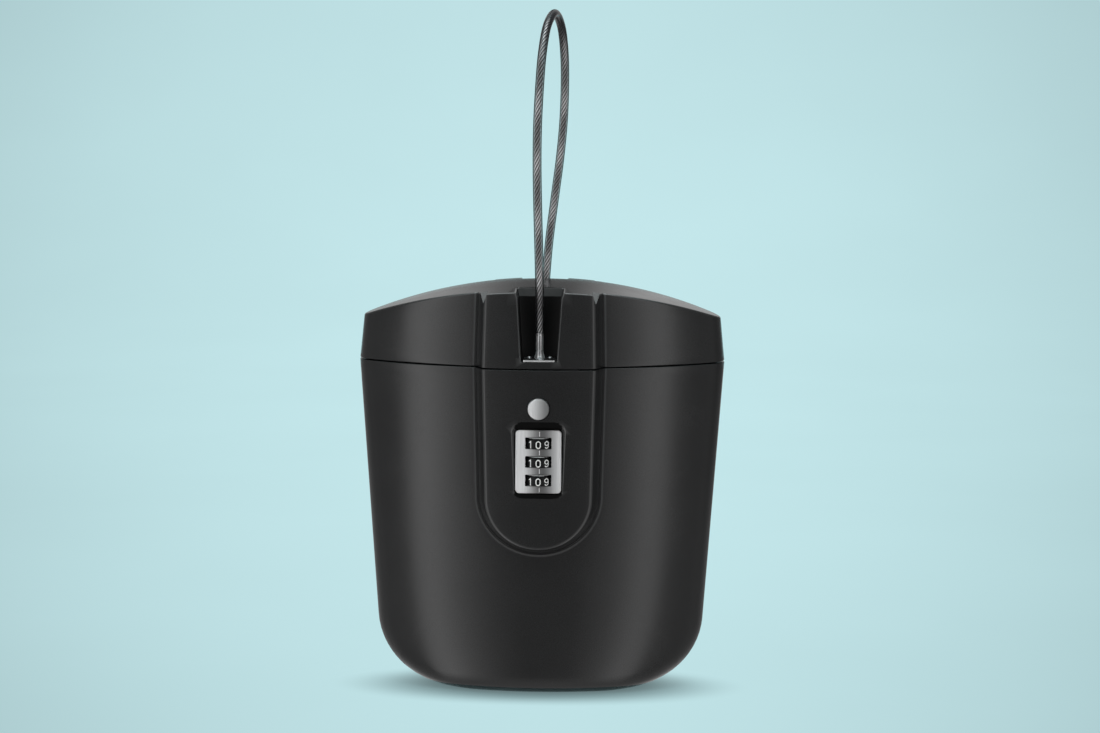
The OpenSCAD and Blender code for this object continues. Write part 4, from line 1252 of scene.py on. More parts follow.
class SAFE_OT_lid(SafeOperator, bpy.types.Operator):
    """Moulds the lid with its crown, cable recesses and hinge knuckles"""
    bl_idname = "safe.lid"
    bl_label = "Lid"

    def recess(self, form, front, worn):
        """Cutter of one cable recess, with rounded edges on the panel's face and on the crown, which carry
        painted highlight.
        """
        p, r = form.panel, form.panel.recess_round
        spread = (p.recess_high - p.recess_low) / (form.case.lid_rise - p.recess_floor)
        # What each ring's height is counted from, that height, its widening and its back's place, in mm
        levels = [("floor", 0.0, -0.7, -0.8), ("floor", 0.25, -0.2, -0.8), ("floor", 1.0, 0.0, -0.77),
                  ("top", 14.0, 0.0, -0.25), ("top", 4.4, 0.0, 0.0), ("crown", 0.7, 0.7, 2.7),
                  ("crown", 0.35, 0.85, 3.05), ("crown", 0.08, 1.15, 3.4), ("crown", -0.12, 1.6, 3.9),
                  ("crown", -6.0, 1.6, 3.9)]
        rings = []
        for kind, value, widen, ahead in levels:
            def level(x, y):
                """Height of this ring at a place."""
                if kind == "floor":
                    return form.floor_z + value * MM
                return (form.crown_z if kind == "top" else form.crown(x, y)) - value * MM
            z = level(p.recess_low, -form.panel_y + 6 * MM)
            w = p.recess_low + spread * (z - form.floor_z) + widen * MM
            back = ahead * MM - form.recess_y
            edge = form.lid_face(w, min(z, form.crown_z - 1 * MM))
            right = [Vector((w - 1.2 * MM, back, 0)), Vector((w - 0.35 * MM, back - 0.35 * MM, 0)),
                     Vector((w, back - 1.2 * MM, 0))]
            right += rounded_corner(Vector((w, edge + r, 0)), Vector((w, edge, 0)),
                                    Vector((w + r, edge - MOUTH_LIFT * r, 0)), 4)
            right.append(Vector((w + r, edge - 3 * MM, 0)))
            ring = right + [Vector((-v.x, v.y, 0)) for v in reversed(right)]
            for v in ring:
                v.z = level(v.x, v.y)
                if not front:
                    v.y = -v.y
            rings.append(ring)
            # Painted highlight on the recess's rounded front edges, and a weaker one along its rim at the
            # crown, but not on the back edge
            rim = 0.4 if kind == "crown" and 0 < value < 0.7 else 0.0
            recess_edge_light = (0.0, 0.0, 0.0, 0.6, 1.0, 1.0, 1.0, 0.6, 0.0)
            worn += [(v, max(edge_share, rim if i > 1 else 0.0)) for i, (v, edge_share) in enumerate(zip(ring, recess_edge_light))]
        return loft(rings)

    def build(self, form):
        c, p = form.case, form.panel
        z0 = form.lid_z + c.edge_round
        count = len(form.lid_quarter(z0))
        tops = []
        for i in range(count):
            z = form.crown_z
            for _ in range(5):
                v = form.lid_quarter(z)[i]
                z = form.crown(v.x, v.y)
            tops.append(z)
        upper = [form.lid_quarter(z)[i] for i, z in enumerate(tops)]
        rows = []
        for f in (0.0, 0.15, 0.32, 0.5, 0.68, 0.84):
            rows.append([form.lid_quarter(lerp(z0, z - c.lip_round, f))[i] for i, z in enumerate(tops)])
        inner = []
        for i, v in enumerate(upper):
            ahead = upper[i + 1] if i + 1 < count else Vector((v.x, -upper[i - 1].y, 0))
            behind = upper[i - 1] if i else Vector((-upper[1].x, upper[1].y, 0))
            run = ahead - behind
            n = Vector((-run.y, run.x, 0)).normalized()
            x, y = v.x + n.x * c.lip_round, v.y + n.y * c.lip_round
            inner.append(Vector((x, y, form.crown(x, y))))
        starts = [form.lid_quarter(z - c.lip_round)[i] for i, z in enumerate(tops)]
        lips = [rounded_corner(a, b, e, 6) for a, b, e in zip(starts, upper, inner)]
        # Painted highlight along the panel's edge, the groove's lip and the lid's rounded upper edge
        worn = [(v, BAND_HIGHLIGHT.get(i, 0.0)) for row in rows for i, v in enumerate(row)]
        lip_light = (0.0, 0.1, 0.25, 0.3, 0.25, 0.1, 0.0)
        for i, points in enumerate(lips):
            worn += [(v, max(w, BAND_HIGHLIGHT.get(i, 0.0))) for v, w in zip(points, lip_light)]
        rows += [[points[j] for points in lips] for j in range(7)]
        for f in (0.02, 0.06, 0.12, 0.2, 0.3, 0.42, 0.55, 0.7, 0.85, 1.0):
            row = []
            for v in inner:
                x, y = lerp(v.x, v.x * 0.5, f), lerp(v.y, 0.0, f)
                row.append(Vector((x, y, form.crown(x, y))))
            rows.append(row)
        bm = bmesh.new()
        skin(bm, [loop + loop[:1] for loop in (around(row) for row in rows)])
        bmesh.ops.dissolve_degenerate(bm, dist=WELD, edges=bm.edges)
        face_outwards(bm, 2)
        round_open_edge(bm, -1, c.edge_round)
        lid = solid(close(bm), "case_lid")
        # Hollow of the lid, around the two recess blocks
        rings = []
        for z in (form.lid_z - PAST, form.lid_z + 8 * MM, form.crown_z + 9 * MM):
            lean = c.lid_lean * (z - c.rim_z) + c.lid_wall
            rings.append(form.plan(form.half_w - lean, c.half_depth - lean, z))
        hollow = solid(loft(rings), "lid_hollow")
        top = bmesh.new()
        grid = []
        for j in range(17):
            y = lerp(-60 * MM, 60 * MM, j / 16)
            grid.append([Vector((x, y, form.crown(x, y, c.lid_wall)))
                         for x in (lerp(-100 * MM, 100 * MM, i / 24) for i in range(25))])
        skin(top, grid)
        shift_new(top, bmesh.ops.extrude_face_region(top, geom=top.faces[:]), (0, 0, 60 * MM))
        bmesh.ops.recalc_face_normals(top, faces=top.faces)
        carve(hollow, top)
        for side in (-1, 1):
            ys = sorted((side * (form.panel_y + PAST), side * (form.recess_y - 6 * MM)))
            carve(hollow, block((-form.block_half, ys[0], form.floor_z - p.floor_t),
                                (form.block_half, ys[1], form.crown_z + PAST)))
        carve(lid, taken(hollow))
        for front in (True, False):
            carve(lid, self.recess(form, front, worn))
        # Scoops where the grooves run out at the crown
        tip_z = form.crown(p.half, form.panel_y) - 4.4 * MM
        spot = form.lid_quarter(tip_z)[13]
        high, side, ahead, behind = 9 * MM, 0.34, 3.0, 0.94
        plan = ((-side, ahead), (side, ahead), (side, -behind), (-side, -behind))
        for sx in (-1, 1):
            for sy in (-1, 1):
                tip = Vector((sx * (spot.x - 1 * MM), sy * spot.y, tip_z))
                out = math.copysign(1, tip.y)
                scoop = bmesh.new()
                corners = [scoop.verts.new(tip + Vector((x, y * out, 1)) * high) for x, y in plan]
                point = scoop.verts.new(tip)
                scoop.faces.new(corners)
                for i in range(4):
                    scoop.faces.new((corners[i], point, corners[(i + 1) % 4]))
                bmesh.ops.recalc_face_normals(scoop, faces=scoop.faces)
                carve(lid, scoop)
        # Hinge
        root = form.panel_y - c.lid_wall + 0.4 * MM
        hinge_half(lid, form, LID_ROOMS, LID_KNUCKLES, (root, root), True)
        tidy_mesh(lid)
        mark_wear(lid, worn)
        # Faces inside the cable recesses, and the back rim's rounding at the crown, take the darker recess
        # plastic: painted shade, which also dims that rim's highlight
        for face in lid.data.polygons:
            x, y, z = face.center
            mouth_y = -form.lid_face(x, z) - p.recess_round - 0.2 * MM
            inside = abs(x) < p.recess_high and form.recess_y - 4 * MM < abs(y) < mouth_y
            below = z < form.crown(x, y) - 0.5 * MM or abs(face.normal.y) > 0.15
            face.material_index = int(inside and below and z > form.floor_z - 0.1 * MM)
        piece(lid, "case_lid", "lid", "case_plastic", ["lid_shell"], ["case_plastic", "recess_plastic"])


class SAFE_OT_face_plate(SafeOperator, bpy.types.Operator):
    """Makes the lock's face plate with its three windows and index lines"""
    bl_idname = "safe.face_plate"
    bl_label = "Lock face plate"

    def build(self, form):
        k = form.lock
        bow, e = 0.45 * MM, 0.3 * MM

        def ring(inset, sink):
            """Outline of the bowed plate, some way in from its edge."""
            r = max(0.2 * MM, 1.9 * MM - inset)
            return [Vector((x, form.plate_y + sink + bow * (2 * x / k.plate_w) ** 2, form.plate_z + z))
                    for x, z in rounded_box(k.plate_w / 2 - inset, k.plate_h / 2 - inset, r, 6)]

        rings = [[Vector((v.x, form.pocket_y, v.z)) for v in ring(0, 0)]]
        rings += [ring(0, e), ring(0.1 * MM, 0.1 * MM)]
        rings += [ring(e + i * (k.plate_w / 2 - 2 * e) / 14, 0) for i in range(15)]
        plate = solid(loft(rings), "lock_face")
        for z in form.dial_z:
            def window(s):
                """Outline of this dial's window, the same all the way."""
                return [(x, z + h) for x, h in rounded_box(k.window_w / 2, form.window_half, 0.4 * MM, 3)]

            carve(plate, mouth(window, form.pocket_y + 0.5 * MM, lambda x, z: form.plate_y, 1.7 * MM,
                               0.2 * MM, 1 * MM))
        tidy_mesh(plate)
        # Index lines between the windows, from the top down
        x, gap, margin = 0.55 * MM, 0.5 * MM, 0.6 * MM
        ends = [form.plate_z + k.plate_h / 2 - margin]
        for z in form.dial_z:
            ends += [z + form.window_half + gap, z - form.window_half - gap]
        ends.append(form.plate_z - k.plate_h / 2 + margin)
        lines = []
        for high, low in zip(ends[::2], ends[1::2]):
            lines.append(block((x - 0.2 * MM, form.plate_y - 0.12 * MM, low),
                               (x + 0.2 * MM, form.plate_y + 0.3 * MM, high), 0.08 * MM))
            for face in lines[-1].faces:
                face.material_index = 1
        piece(join(taken(plate), *lines), "lock_face", "base", "satin_metal", ["lock_faceplate"],
              ["satin_metal", "index_metal"])


class SAFE_OT_dials(SafeOperator, bpy.types.Operator):
    """Turns the three dials and puts their numbers on"""
    bl_idname = "safe.dials"
    bl_label = "Dials"

    def stroke(self, curve, moves):
        """One pen stroke as a spline with short steps, closed if it ends where it starts."""
        points = []
        for move in moves:
            if len(move) == 5:
                points += [Vector(p) for p in arc(*move, PEN_ARC_STEPS)]
                continue
            last = points[-1] if points else Vector(move)
            steps = max(1, round((Vector(move) - last).length / PEN_STEP))
            points += [last.lerp(Vector(move), (i + 1) / steps) for i in range(steps)]
        closed = (points[0] - points[-1]).length < 1e-4
        points = points[:-1] if closed else points
        spline = curve.splines.new("POLY")
        spline.points.add(len(points) - 1)
        for spot, p in zip(spline.points, points):
            spot.co = (p.x, p.y, 0, 1)
        spline.use_cyclic_u = closed

    def numbers(self, form, z):
        """Ten raised numbers around one dial."""
        k = form.lock
        out = []
        for n, strokes in enumerate(PEN_STROKES):
            curve = bpy.data.curves.new("number", "CURVE")
            curve.dimensions, curve.twist_mode = "3D", "Z_UP"
            curve.bevel_depth, curve.bevel_resolution, curve.use_fill_caps = PEN_WIDTH * 0.6, 1, True
            for moves in strokes:
                self.stroke(curve, moves)
            holder = bpy.data.objects.new("number", curve)
            bpy.context.scene.collection.objects.link(holder)
            mesh = shown(holder)
            bpy.data.objects.remove(holder)
            bpy.data.curves.remove(curve)
            bm = bmesh.new()
            bm.from_mesh(mesh)
            bpy.data.meshes.remove(mesh)
            bmesh.ops.remove_doubles(bm, verts=bm.verts, dist=1e-5)
            left, right = min(v.co.x for v in bm.verts), max(v.co.x for v in bm.verts)
            scale = k.number_h / (1 + PEN_WIDTH)
            for v in bm.verts:
                along = (v.co.x - (left + right) / 2) * scale * PEN_WIDER
                turn = math.radians(-360 / PLACES * n) + along / k.dial_r
                r = k.dial_r + (0.04 * MM if v.co.z > 1e-3 else -0.06 * MM)
                height = z - k.shoulder / 2 - 0.05 * MM + (v.co.y - 0.5) * scale
                v.co = (r * math.sin(turn), form.dial_y - r * math.cos(turn), height)
            bmesh.ops.recalc_face_normals(bm, faces=bm.faces)
            out.append(bm)
        return join(*out)

    def build(self, form):
        k = form.lock
        half, r = k.dial_t / 2, k.dial_r
        step = half - k.shoulder
        pitch, notch = 360 / PLACES, 5
        for name, z in zip(("upper_dial", "middle_dial", "lower_dial"), form.dial_z):
            bore = k.spindle_r + 0.05 * MM
            profile = [(bore, -half)] + stepped(r, -half, (-0.4, 0), (-0.1, 0.1), (0, 0.4))
            profile += stepped(r, step, (0, -0.3), (-0.08, -0.08), (-0.3, 0), (-0.7, 0))
            profile += stepped(r, half, (-0.7, -0.3), (-0.95, 0)) + [(bore, half)]
            bm = spun(profile, 160, True)
            bmesh.ops.remove_doubles(bm, verts=bm.verts, dist=WELD)
            # Detent notches in the stepped ring
            for v in bm.verts:
                flat = Vector((v.co.x, v.co.y, 0))
                if v.co.z > step + 0.05 * MM and flat.length > r - 1.2 * MM:
                    turn = math.degrees(math.atan2(v.co.y, v.co.x)) % pitch - pitch / 2
                    if abs(turn) < notch:
                        v.co -= flat.normalized() * 0.4 * MM * math.cos(math.radians(turn * 90 / notch))
            bmesh.ops.recalc_face_normals(bm, faces=bm.faces)
            bmesh.ops.translate(bm, verts=bm.verts, vec=(0, form.dial_y, z))
            # The top bevel of the stepped ring takes the light dial edge colour: a painted highlight line
            for face in bm.faces:
                z_mid, out = face.calc_center_median().z - z, face.normal
                face.material_index = int(z_mid > half - 0.28 * MM and 0.2 < out.z < 0.98)
            piece(bm, name + "_wheel", name, "dial_plastic", [name], ["dial_plastic", "dial_edge"])
            piece(self.numbers(form, z), name + "_numbers", name, "dial_plastic", looks=["numbers"])


class SAFE_OT_button(SafeOperator, bpy.types.Operator):
    """Turns the push button with its flange and stem"""
    bl_idname = "safe.button"
    bl_label = "Push button"

    def build(self, form):
        k = form.lock
        r, y = k.button_r, form.button_y
        stem_r, flange_back = 2 * MM, form.flange_y + 1.2 * MM
        profile = [(0, y), (r * 0.5, y + 0.04 * MM)]
        profile += stepped(r, y, (-0.75, 0.1), (-0.4, 0.17), (-0.12, 0.32), (0, 0.62))
        profile += stepped(r, form.flange_y, (0, 0), (1.3, 0), (1.3, 1.2)) + [(stem_r, flange_back)]
        profile += stepped(stem_r, form.stem_y, (0, -0.3), (-0.3, 0)) + [(0, form.stem_y)]
        piece(turned(profile, (0, 0, form.button_z), "Y", 72), "button_cap", "button", "satin_metal",
              ["release_button"], ["button_metal"])


class SAFE_OT_anchors(SafeOperator, bpy.types.Operator):
    """Makes the anchor plates, rivets and ferrules of the cable"""
    bl_idname = "safe.anchors"
    bl_label = "Cable anchors"

    def plate(self, form, front):
        """One anchor plate, whose sides take a brighter metal than its top as painted highlight."""
        half = form.panel.recess_low - 1.05 * MM
        z, back = form.floor_z, -form.recess_y - 1.2 * MM
        outline = [(half, back), (-half, back)]
        for i in range(13):
            x = lerp(-half, half, i / 12)
            outline.append((x, form.lid_face(x, z) + 0.8 * MM))
        if not front:
            outline = [(x, -y) for x, y in reversed(outline)]
        bm = prism(outline, z, form.anchor_z, "Z", 0.18 * MM)
        # Painted highlight: the plate's sides take the brighter index metal
        for face in bm.faces:
            face.material_index = int(abs(face.normal.z) < 0.3)
        return bm

    def build(self, form):
        b = form.cable
        for name, stands_for in (("anchor_front", "front_anchor_plate"),
                                 ("anchor_rear", "rear_anchor_plate")):
            piece(self.plate(form, name == "anchor_front"), name, "lid", "satin_metal", [stands_for],
                  ["plate_metal", "index_metal"])
        # Rivets
        low, z = form.floor_z - form.panel.floor_t, form.anchor_z
        shank_r, head_r = 0.6 * MM, 1.05 * MM
        profile = [(0, low), (shank_r, low), (shank_r, z)]
        profile += stepped(head_r, z, (0, 0), (0, 0.12), (-0.15, 0.32), (-0.5, 0.46)) + [(0, z + 0.5 * MM)]
        heads = [turned(profile, (x, y, 0), "Z", 24) for x in (-b.rivet_x, b.rivet_x)
                 for y in (-form.anchor_y, form.anchor_y)]
        piece(join(*heads), "anchor_rivet_heads", "lid", "steel", ["anchor_rivets"])
        # Ferrules: the same above the plate, with a stud under the front one and a shank under the rear one
        r, z0, z1 = b.ferrule_r, form.anchor_z, form.ferrule_z
        upper = stepped(r, z0, (0.75, 0), (0.75, 0.3), (0.65, 0.45), (0.25, 1.7), (0.06, 2.4), (0, 2.9),
                        (-0.1, 3.15), (-0.1, 3.35), (0, 3.5))
        upper += stepped(r, z1, (0, -1.3), (-0.08, -1.15), (0, -1), (0, -0.35), (-0.25, 0)) + [(0, z1)]
        low, neck_end = form.liner_z + 0.3 * MM, form.floor_z - 1.5 * MM
        head_r, neck_r, shank_r = 1.6 * MM, 0.9 * MM, 1.5 * MM
        stud = [(0, low), (1.2 * MM, low), (head_r, form.liner_z + 0.7 * MM), (head_r, form.lid_z),
                (neck_r, form.lid_z), (neck_r, neck_end), (shank_r, neck_end), (shank_r, z0)] + upper
        piece(turned(stud, (0, -form.anchor_y, 0), "Z", 40), "stud_front", "lid", "satin_metal",
              ["cable_stud"], ["turned_metal"])
        low = form.liner_z + 0.2 * MM
        rear = [(0, low), (shank_r, low), (shank_r, z0)] + upper
        piece(turned(rear, (0, form.anchor_y, 0), "Z", 40), "ferrule_rear", "lid", "satin_metal",
              ["rear_ferrule"], ["turned_metal"])


class SAFE_OT_lid_fittings(SafeOperator, bpy.types.Operator):
    """Makes the liner under the lid, the keeper, the retainer, the nut and their screws"""
    bl_idname = "safe.lid_fittings"
    bl_label = "Lid fittings"

    def liner(self, form):
        """The plate that closes the lid from below, with holes for the stud, the nut and the knob."""
        c, k = form.case, form.lock
        edge, low, high = c.wall + 0.8 * MM, form.liner_z, form.lid_z
        w, d = form.half_w - edge, c.half_depth - edge
        rings = []
        for inset, z in ((0.5 * MM, low), (0.15 * MM, low + 0.15 * MM), (0.0, low + 0.5 * MM), (0.0, high)):
            rings.append(form.plan(w - inset, d - inset, z))
        liner = solid(loft(rings))
        half = k.half - 0.4 * MM
        carve(liner, block((-half, form.well_y + 1 * MM, low), (half, 0, high), 0.3 * MM), "UNION")
        half, rear = form.hollow_half - 1.8 * MM, form.panel_y - c.wall - 2.8 * MM
        carve(liner, block((-half, 0, low), (half, rear, high), 0.3 * MM), "UNION")
        below, above, chamfer = low - PAST, high + PAST, 0.3 * MM
        for y, r in ((-form.anchor_y, 2.4 * MM), (form.anchor_y, 4.4 * MM)):
            carve(liner, turned([(0, below), (r + chamfer, below), (r + chamfer, low), (r, low + chamfer),
                                 (r, above), (0, above)], (0, y, 0)))
        slot = KNOB_R + 0.4 * MM
        carve(liner, block((KNOB_X - slot, -form.anchor_y - slot, below),
                           (KNOB_X + TRAVEL + slot, -form.anchor_y + slot, above)))
        tidy_mesh(liner)
        return liner

    def keeper(self, form):
        """The bent sheet under the lid that the latch hook catches."""
        half, tab, t = form.lock.half - 1 * MM, 5.5 * MM, KEEPER_T
        front, back, top = form.well_y + 0.7 * MM, form.keeper_y, form.liner_z
        keeper = solid(block((-half, front, top - t), (half, back - t - 0.3 * MM, top)))
        carve(keeper, block((-tab, front, top - t), (tab, back, top)), "UNION")
        carve(keeper, block((-tab, back - t, form.pivot_z + 0.5 * MM), (tab, back, top)), "UNION")
        carve(keeper, block((-4.4 * MM, back - t - PAST, form.pivot_z + 2.1 * MM),
                            (4.4 * MM, back + PAST, form.pivot_z + 8.5 * MM)))
        soften(keeper, 0.2 * MM)
        return keeper

    def retainer(self, form):
        """The slide with the keyhole that holds the stud, and its knob."""
        low, high, y = form.lid_z + 0.2 * MM, form.floor_z - form.panel.floor_t - 0.2 * MM, -form.anchor_y
        below, above, neck = low - PAST, high + PAST, 1.25 * MM
        retainer = solid(block((-17.2 * MM, y - 2.2 * MM, low), (5.2 * MM, y + 2.2 * MM, high)))
        for x, r in ((0, neck), (-TRAVEL, 1.95 * MM)):
            carve(retainer, rod(r, below, above, (x, y, 0), "Z"))
        carve(retainer, block((-TRAVEL, y - neck, below), (0, y + neck, above)))
        soften(retainer, 0.12 * MM)
        end, top = form.liner_z - 2 * MM, low + 0.2 * MM
        knob = [(0, end)] + stepped(KNOB_R, end, (-0.5, 0), (-0.15, 0.15), (0, 0.5))
        knob += [(KNOB_R, top), (0, top)]
        carve(retainer, turned(knob, (KNOB_X, y, 0), "Z", 32), "UNION")
        tidy_mesh(retainer)
        return retainer

    def nut(self, form):
        """The hexagon nut of the rear ferrule."""
        low, high, r = form.liner_z + 0.4 * MM, form.floor_z - form.panel.floor_t, 3.46 * MM
        outline = arc(0, form.anchor_y, r, 0, 300, 5)
        nut = solid(prism(outline, low, high, "Z"))
        e = 0.35 * MM
        carve(nut, turned([(0, low), (r - 2 * e, low), (r + e, low + 2 * e), (r + e, high - 2 * e),
                           (r - 2 * e, high), (0, high)], (0, form.anchor_y, 0)), "INTERSECT")
        carve(nut, turned([(0, low - e), (1.9 * MM, low - e), (1.55 * MM, low + e), (1.55 * MM, high + e),
                           (0, high + e)], (0, form.anchor_y, 0)))
        tidy_mesh(nut)
        return nut

    def build(self, form):
        piece(self.liner(form), "liner_plate", "lid", "liner_plastic", ["lid_liner"])
        piece(self.keeper(form), "keeper_bracket", "lid", "steel", ["latch_keeper"])
        piece(self.retainer(form), "retainer_slider", "retainer", "steel", ["cable_retainer"])
        piece(self.nut(form), "cable_nut", "lid", "steel", ["rear_cable_nut"])
        x, z = form.half_w - 25 * MM, form.liner_z
        places = [Matrix.Translation((sx * x, sy * 9 * MM, z)) for sx in (-1, 1) for sy in (-1, 1)]
        screw = cross_screw(head_r=2.4 * MM, head_h=1.2 * MM, shank_r=1.25 * MM, shank_l=11.1 * MM)
        screws = copies(screw, places)
        piece(screws, "liner_screw_set", "lid", "steel", ["lid_liner_screws"])
        x, z = form.lock.half - 4.5 * MM, form.liner_z - KEEPER_T
        places = [Matrix.Translation((sx * x, -form.panel_y + 6.6 * MM, z)) for sx in (-1, 1)]
        screw = cross_screw(head_r=1.9 * MM, head_h=1.1 * MM, shank_r=1 * MM, shank_l=13.6 * MM)
        screws = copies(screw, places)
        piece(screws, "keeper_screw_set", "lid", "steel", ["keeper_screws"])


class SAFE_OT_lock_fittings(SafeOperator, bpy.types.Operator):
    """Makes the lock's rear cover, its screws, the latch hook, the coil spring and the hinge pin"""
    bl_idname = "safe.lock_fittings"
    bl_label = "Lock fittings"

    def cover(self, form):
        """The lock's rear cover, with a tongue up to the latch."""
        half, y0, y1 = form.lock.half, form.lock_back_y, form.lock_back_y + COVER_T
        cover = solid(block((-half, y0, form.lock_low_z), (half, y1, form.lock_high_z)))
        half, low, high = 9 * MM, form.lock_high_z - 1 * MM, form.pivot_z + 3.5 * MM
        carve(cover, block((-half, y0, low), (half, y1, high)), "UNION")
        soften(cover, 0.4 * MM)
        return cover

    def hook(self, form):
        """The latch hook: a boss on the pivot, a tail to the button's stem, and an arm with its nose."""
        y, z, half = form.pivot_y, form.pivot_z, 3.6 * MM

        def bar(points):
            """A bar from points given in millimetres from the pivot."""
            return prism([(y + a * MM, z + b * MM) for a, b in points], -half, half)

        hook = solid(prism(arc(y, z, 2.6 * MM, 0, 350, 35), -half, half))
        for points in ([(-0.8, -1.5), (-2.2, -5.5), (-0.4, -5.9), (1.4, -1.5)],
                       arc(-1.5, -5.5, 1.2, 0, 345, 23),
                       [(-1, 1), (1.3, 1), (1.3, 7.6), (-1, 7.6)],
                       [(-2.3, 5.4), (-0.5, 4.8), (-0.5, 7.6), (-2.3, 7.2)]):
            carve(hook, bar(points), "UNION")
        carve(hook, rod(1.25 * MM, -half * 2, half * 2, (0, y, z)))
        soften(hook, 0.12 * MM)
        return hook

    def build(self, form):
        piece(self.cover(form), "lock_cover", "base", "lock_plastic", ["lock_rear_cover"])
        piece(self.hook(form), "latch", "latch", "steel", ["latch_hook"])
        turn = Matrix.Rotation(math.radians(90), 4, "X")
        x, y = form.lock.half - 2.5 * MM, form.lock_back_y + COVER_T
        places = [Matrix.Translation((sx * x, y, z)) @ turn for sx in (-1, 1)
                  for z in (form.lock_low_z + 4.5 * MM, form.lock_high_z - 4.5 * MM)]
        deep = y - form.lock_y + 1.3 * MM
        screws = copies(cross_screw(head_r=2 * MM, head_h=1.2 * MM, shank_r=1.1 * MM, shank_l=deep), places)
        piece(screws, "cover_screw_set", "base", "steel", ["lock_cover_screws"])
        # Coil spring of the button
        wire, r, turns, steps = 0.3 * MM, 3.1 * MM, 3.5, 36
        y0, y1 = form.flange_y + 1.55 * MM, form.guide_y - 0.35 * MM
        count = int(turns * steps)
        path = [Vector((r * math.cos(2 * math.pi * i / steps), lerp(y0, y1, i / count),
                        form.button_z + r * math.sin(2 * math.pi * i / steps))) for i in range(count + 1)]
        spring = piece(tube(path, wire, 12), "button_coil", "base", "spring_steel", ["button_spring"])
        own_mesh(spring)
        # Hinge pin
        pin = [(0, -PIN_HALF)] + stepped(PIN_R, -PIN_HALF, (-0.3, 0), (-0.1, 0.1), (0, 0.3))
        pin += stepped(PIN_R, PIN_HALF, (0, -0.3), (-0.1, -0.1), (-0.3, 0)) + [(0, PIN_HALF)]
        piece(turned(pin, (0, form.hinge_y, form.case.rim_z), "X", 40), "hinge_rod", "base", "steel",
              ["hinge_pin"])


class SAFE_OT_hidden(SafeOperator, bpy.types.Operator):
    """Gives the solids that stay as they are their finishes"""
    bl_idname = "safe.hidden"
    bl_label = "Inner solids"

    def build(self, form):
        slots = {part["node"]: part["material_slot"] for part in frame["record"]["subparts"]}
        for name, obj in frame["nodes"].items():
            if obj.hide_render:
                continue
            obj.data.materials.clear()
            obj.data.materials.append(finishes()[slots[name]])


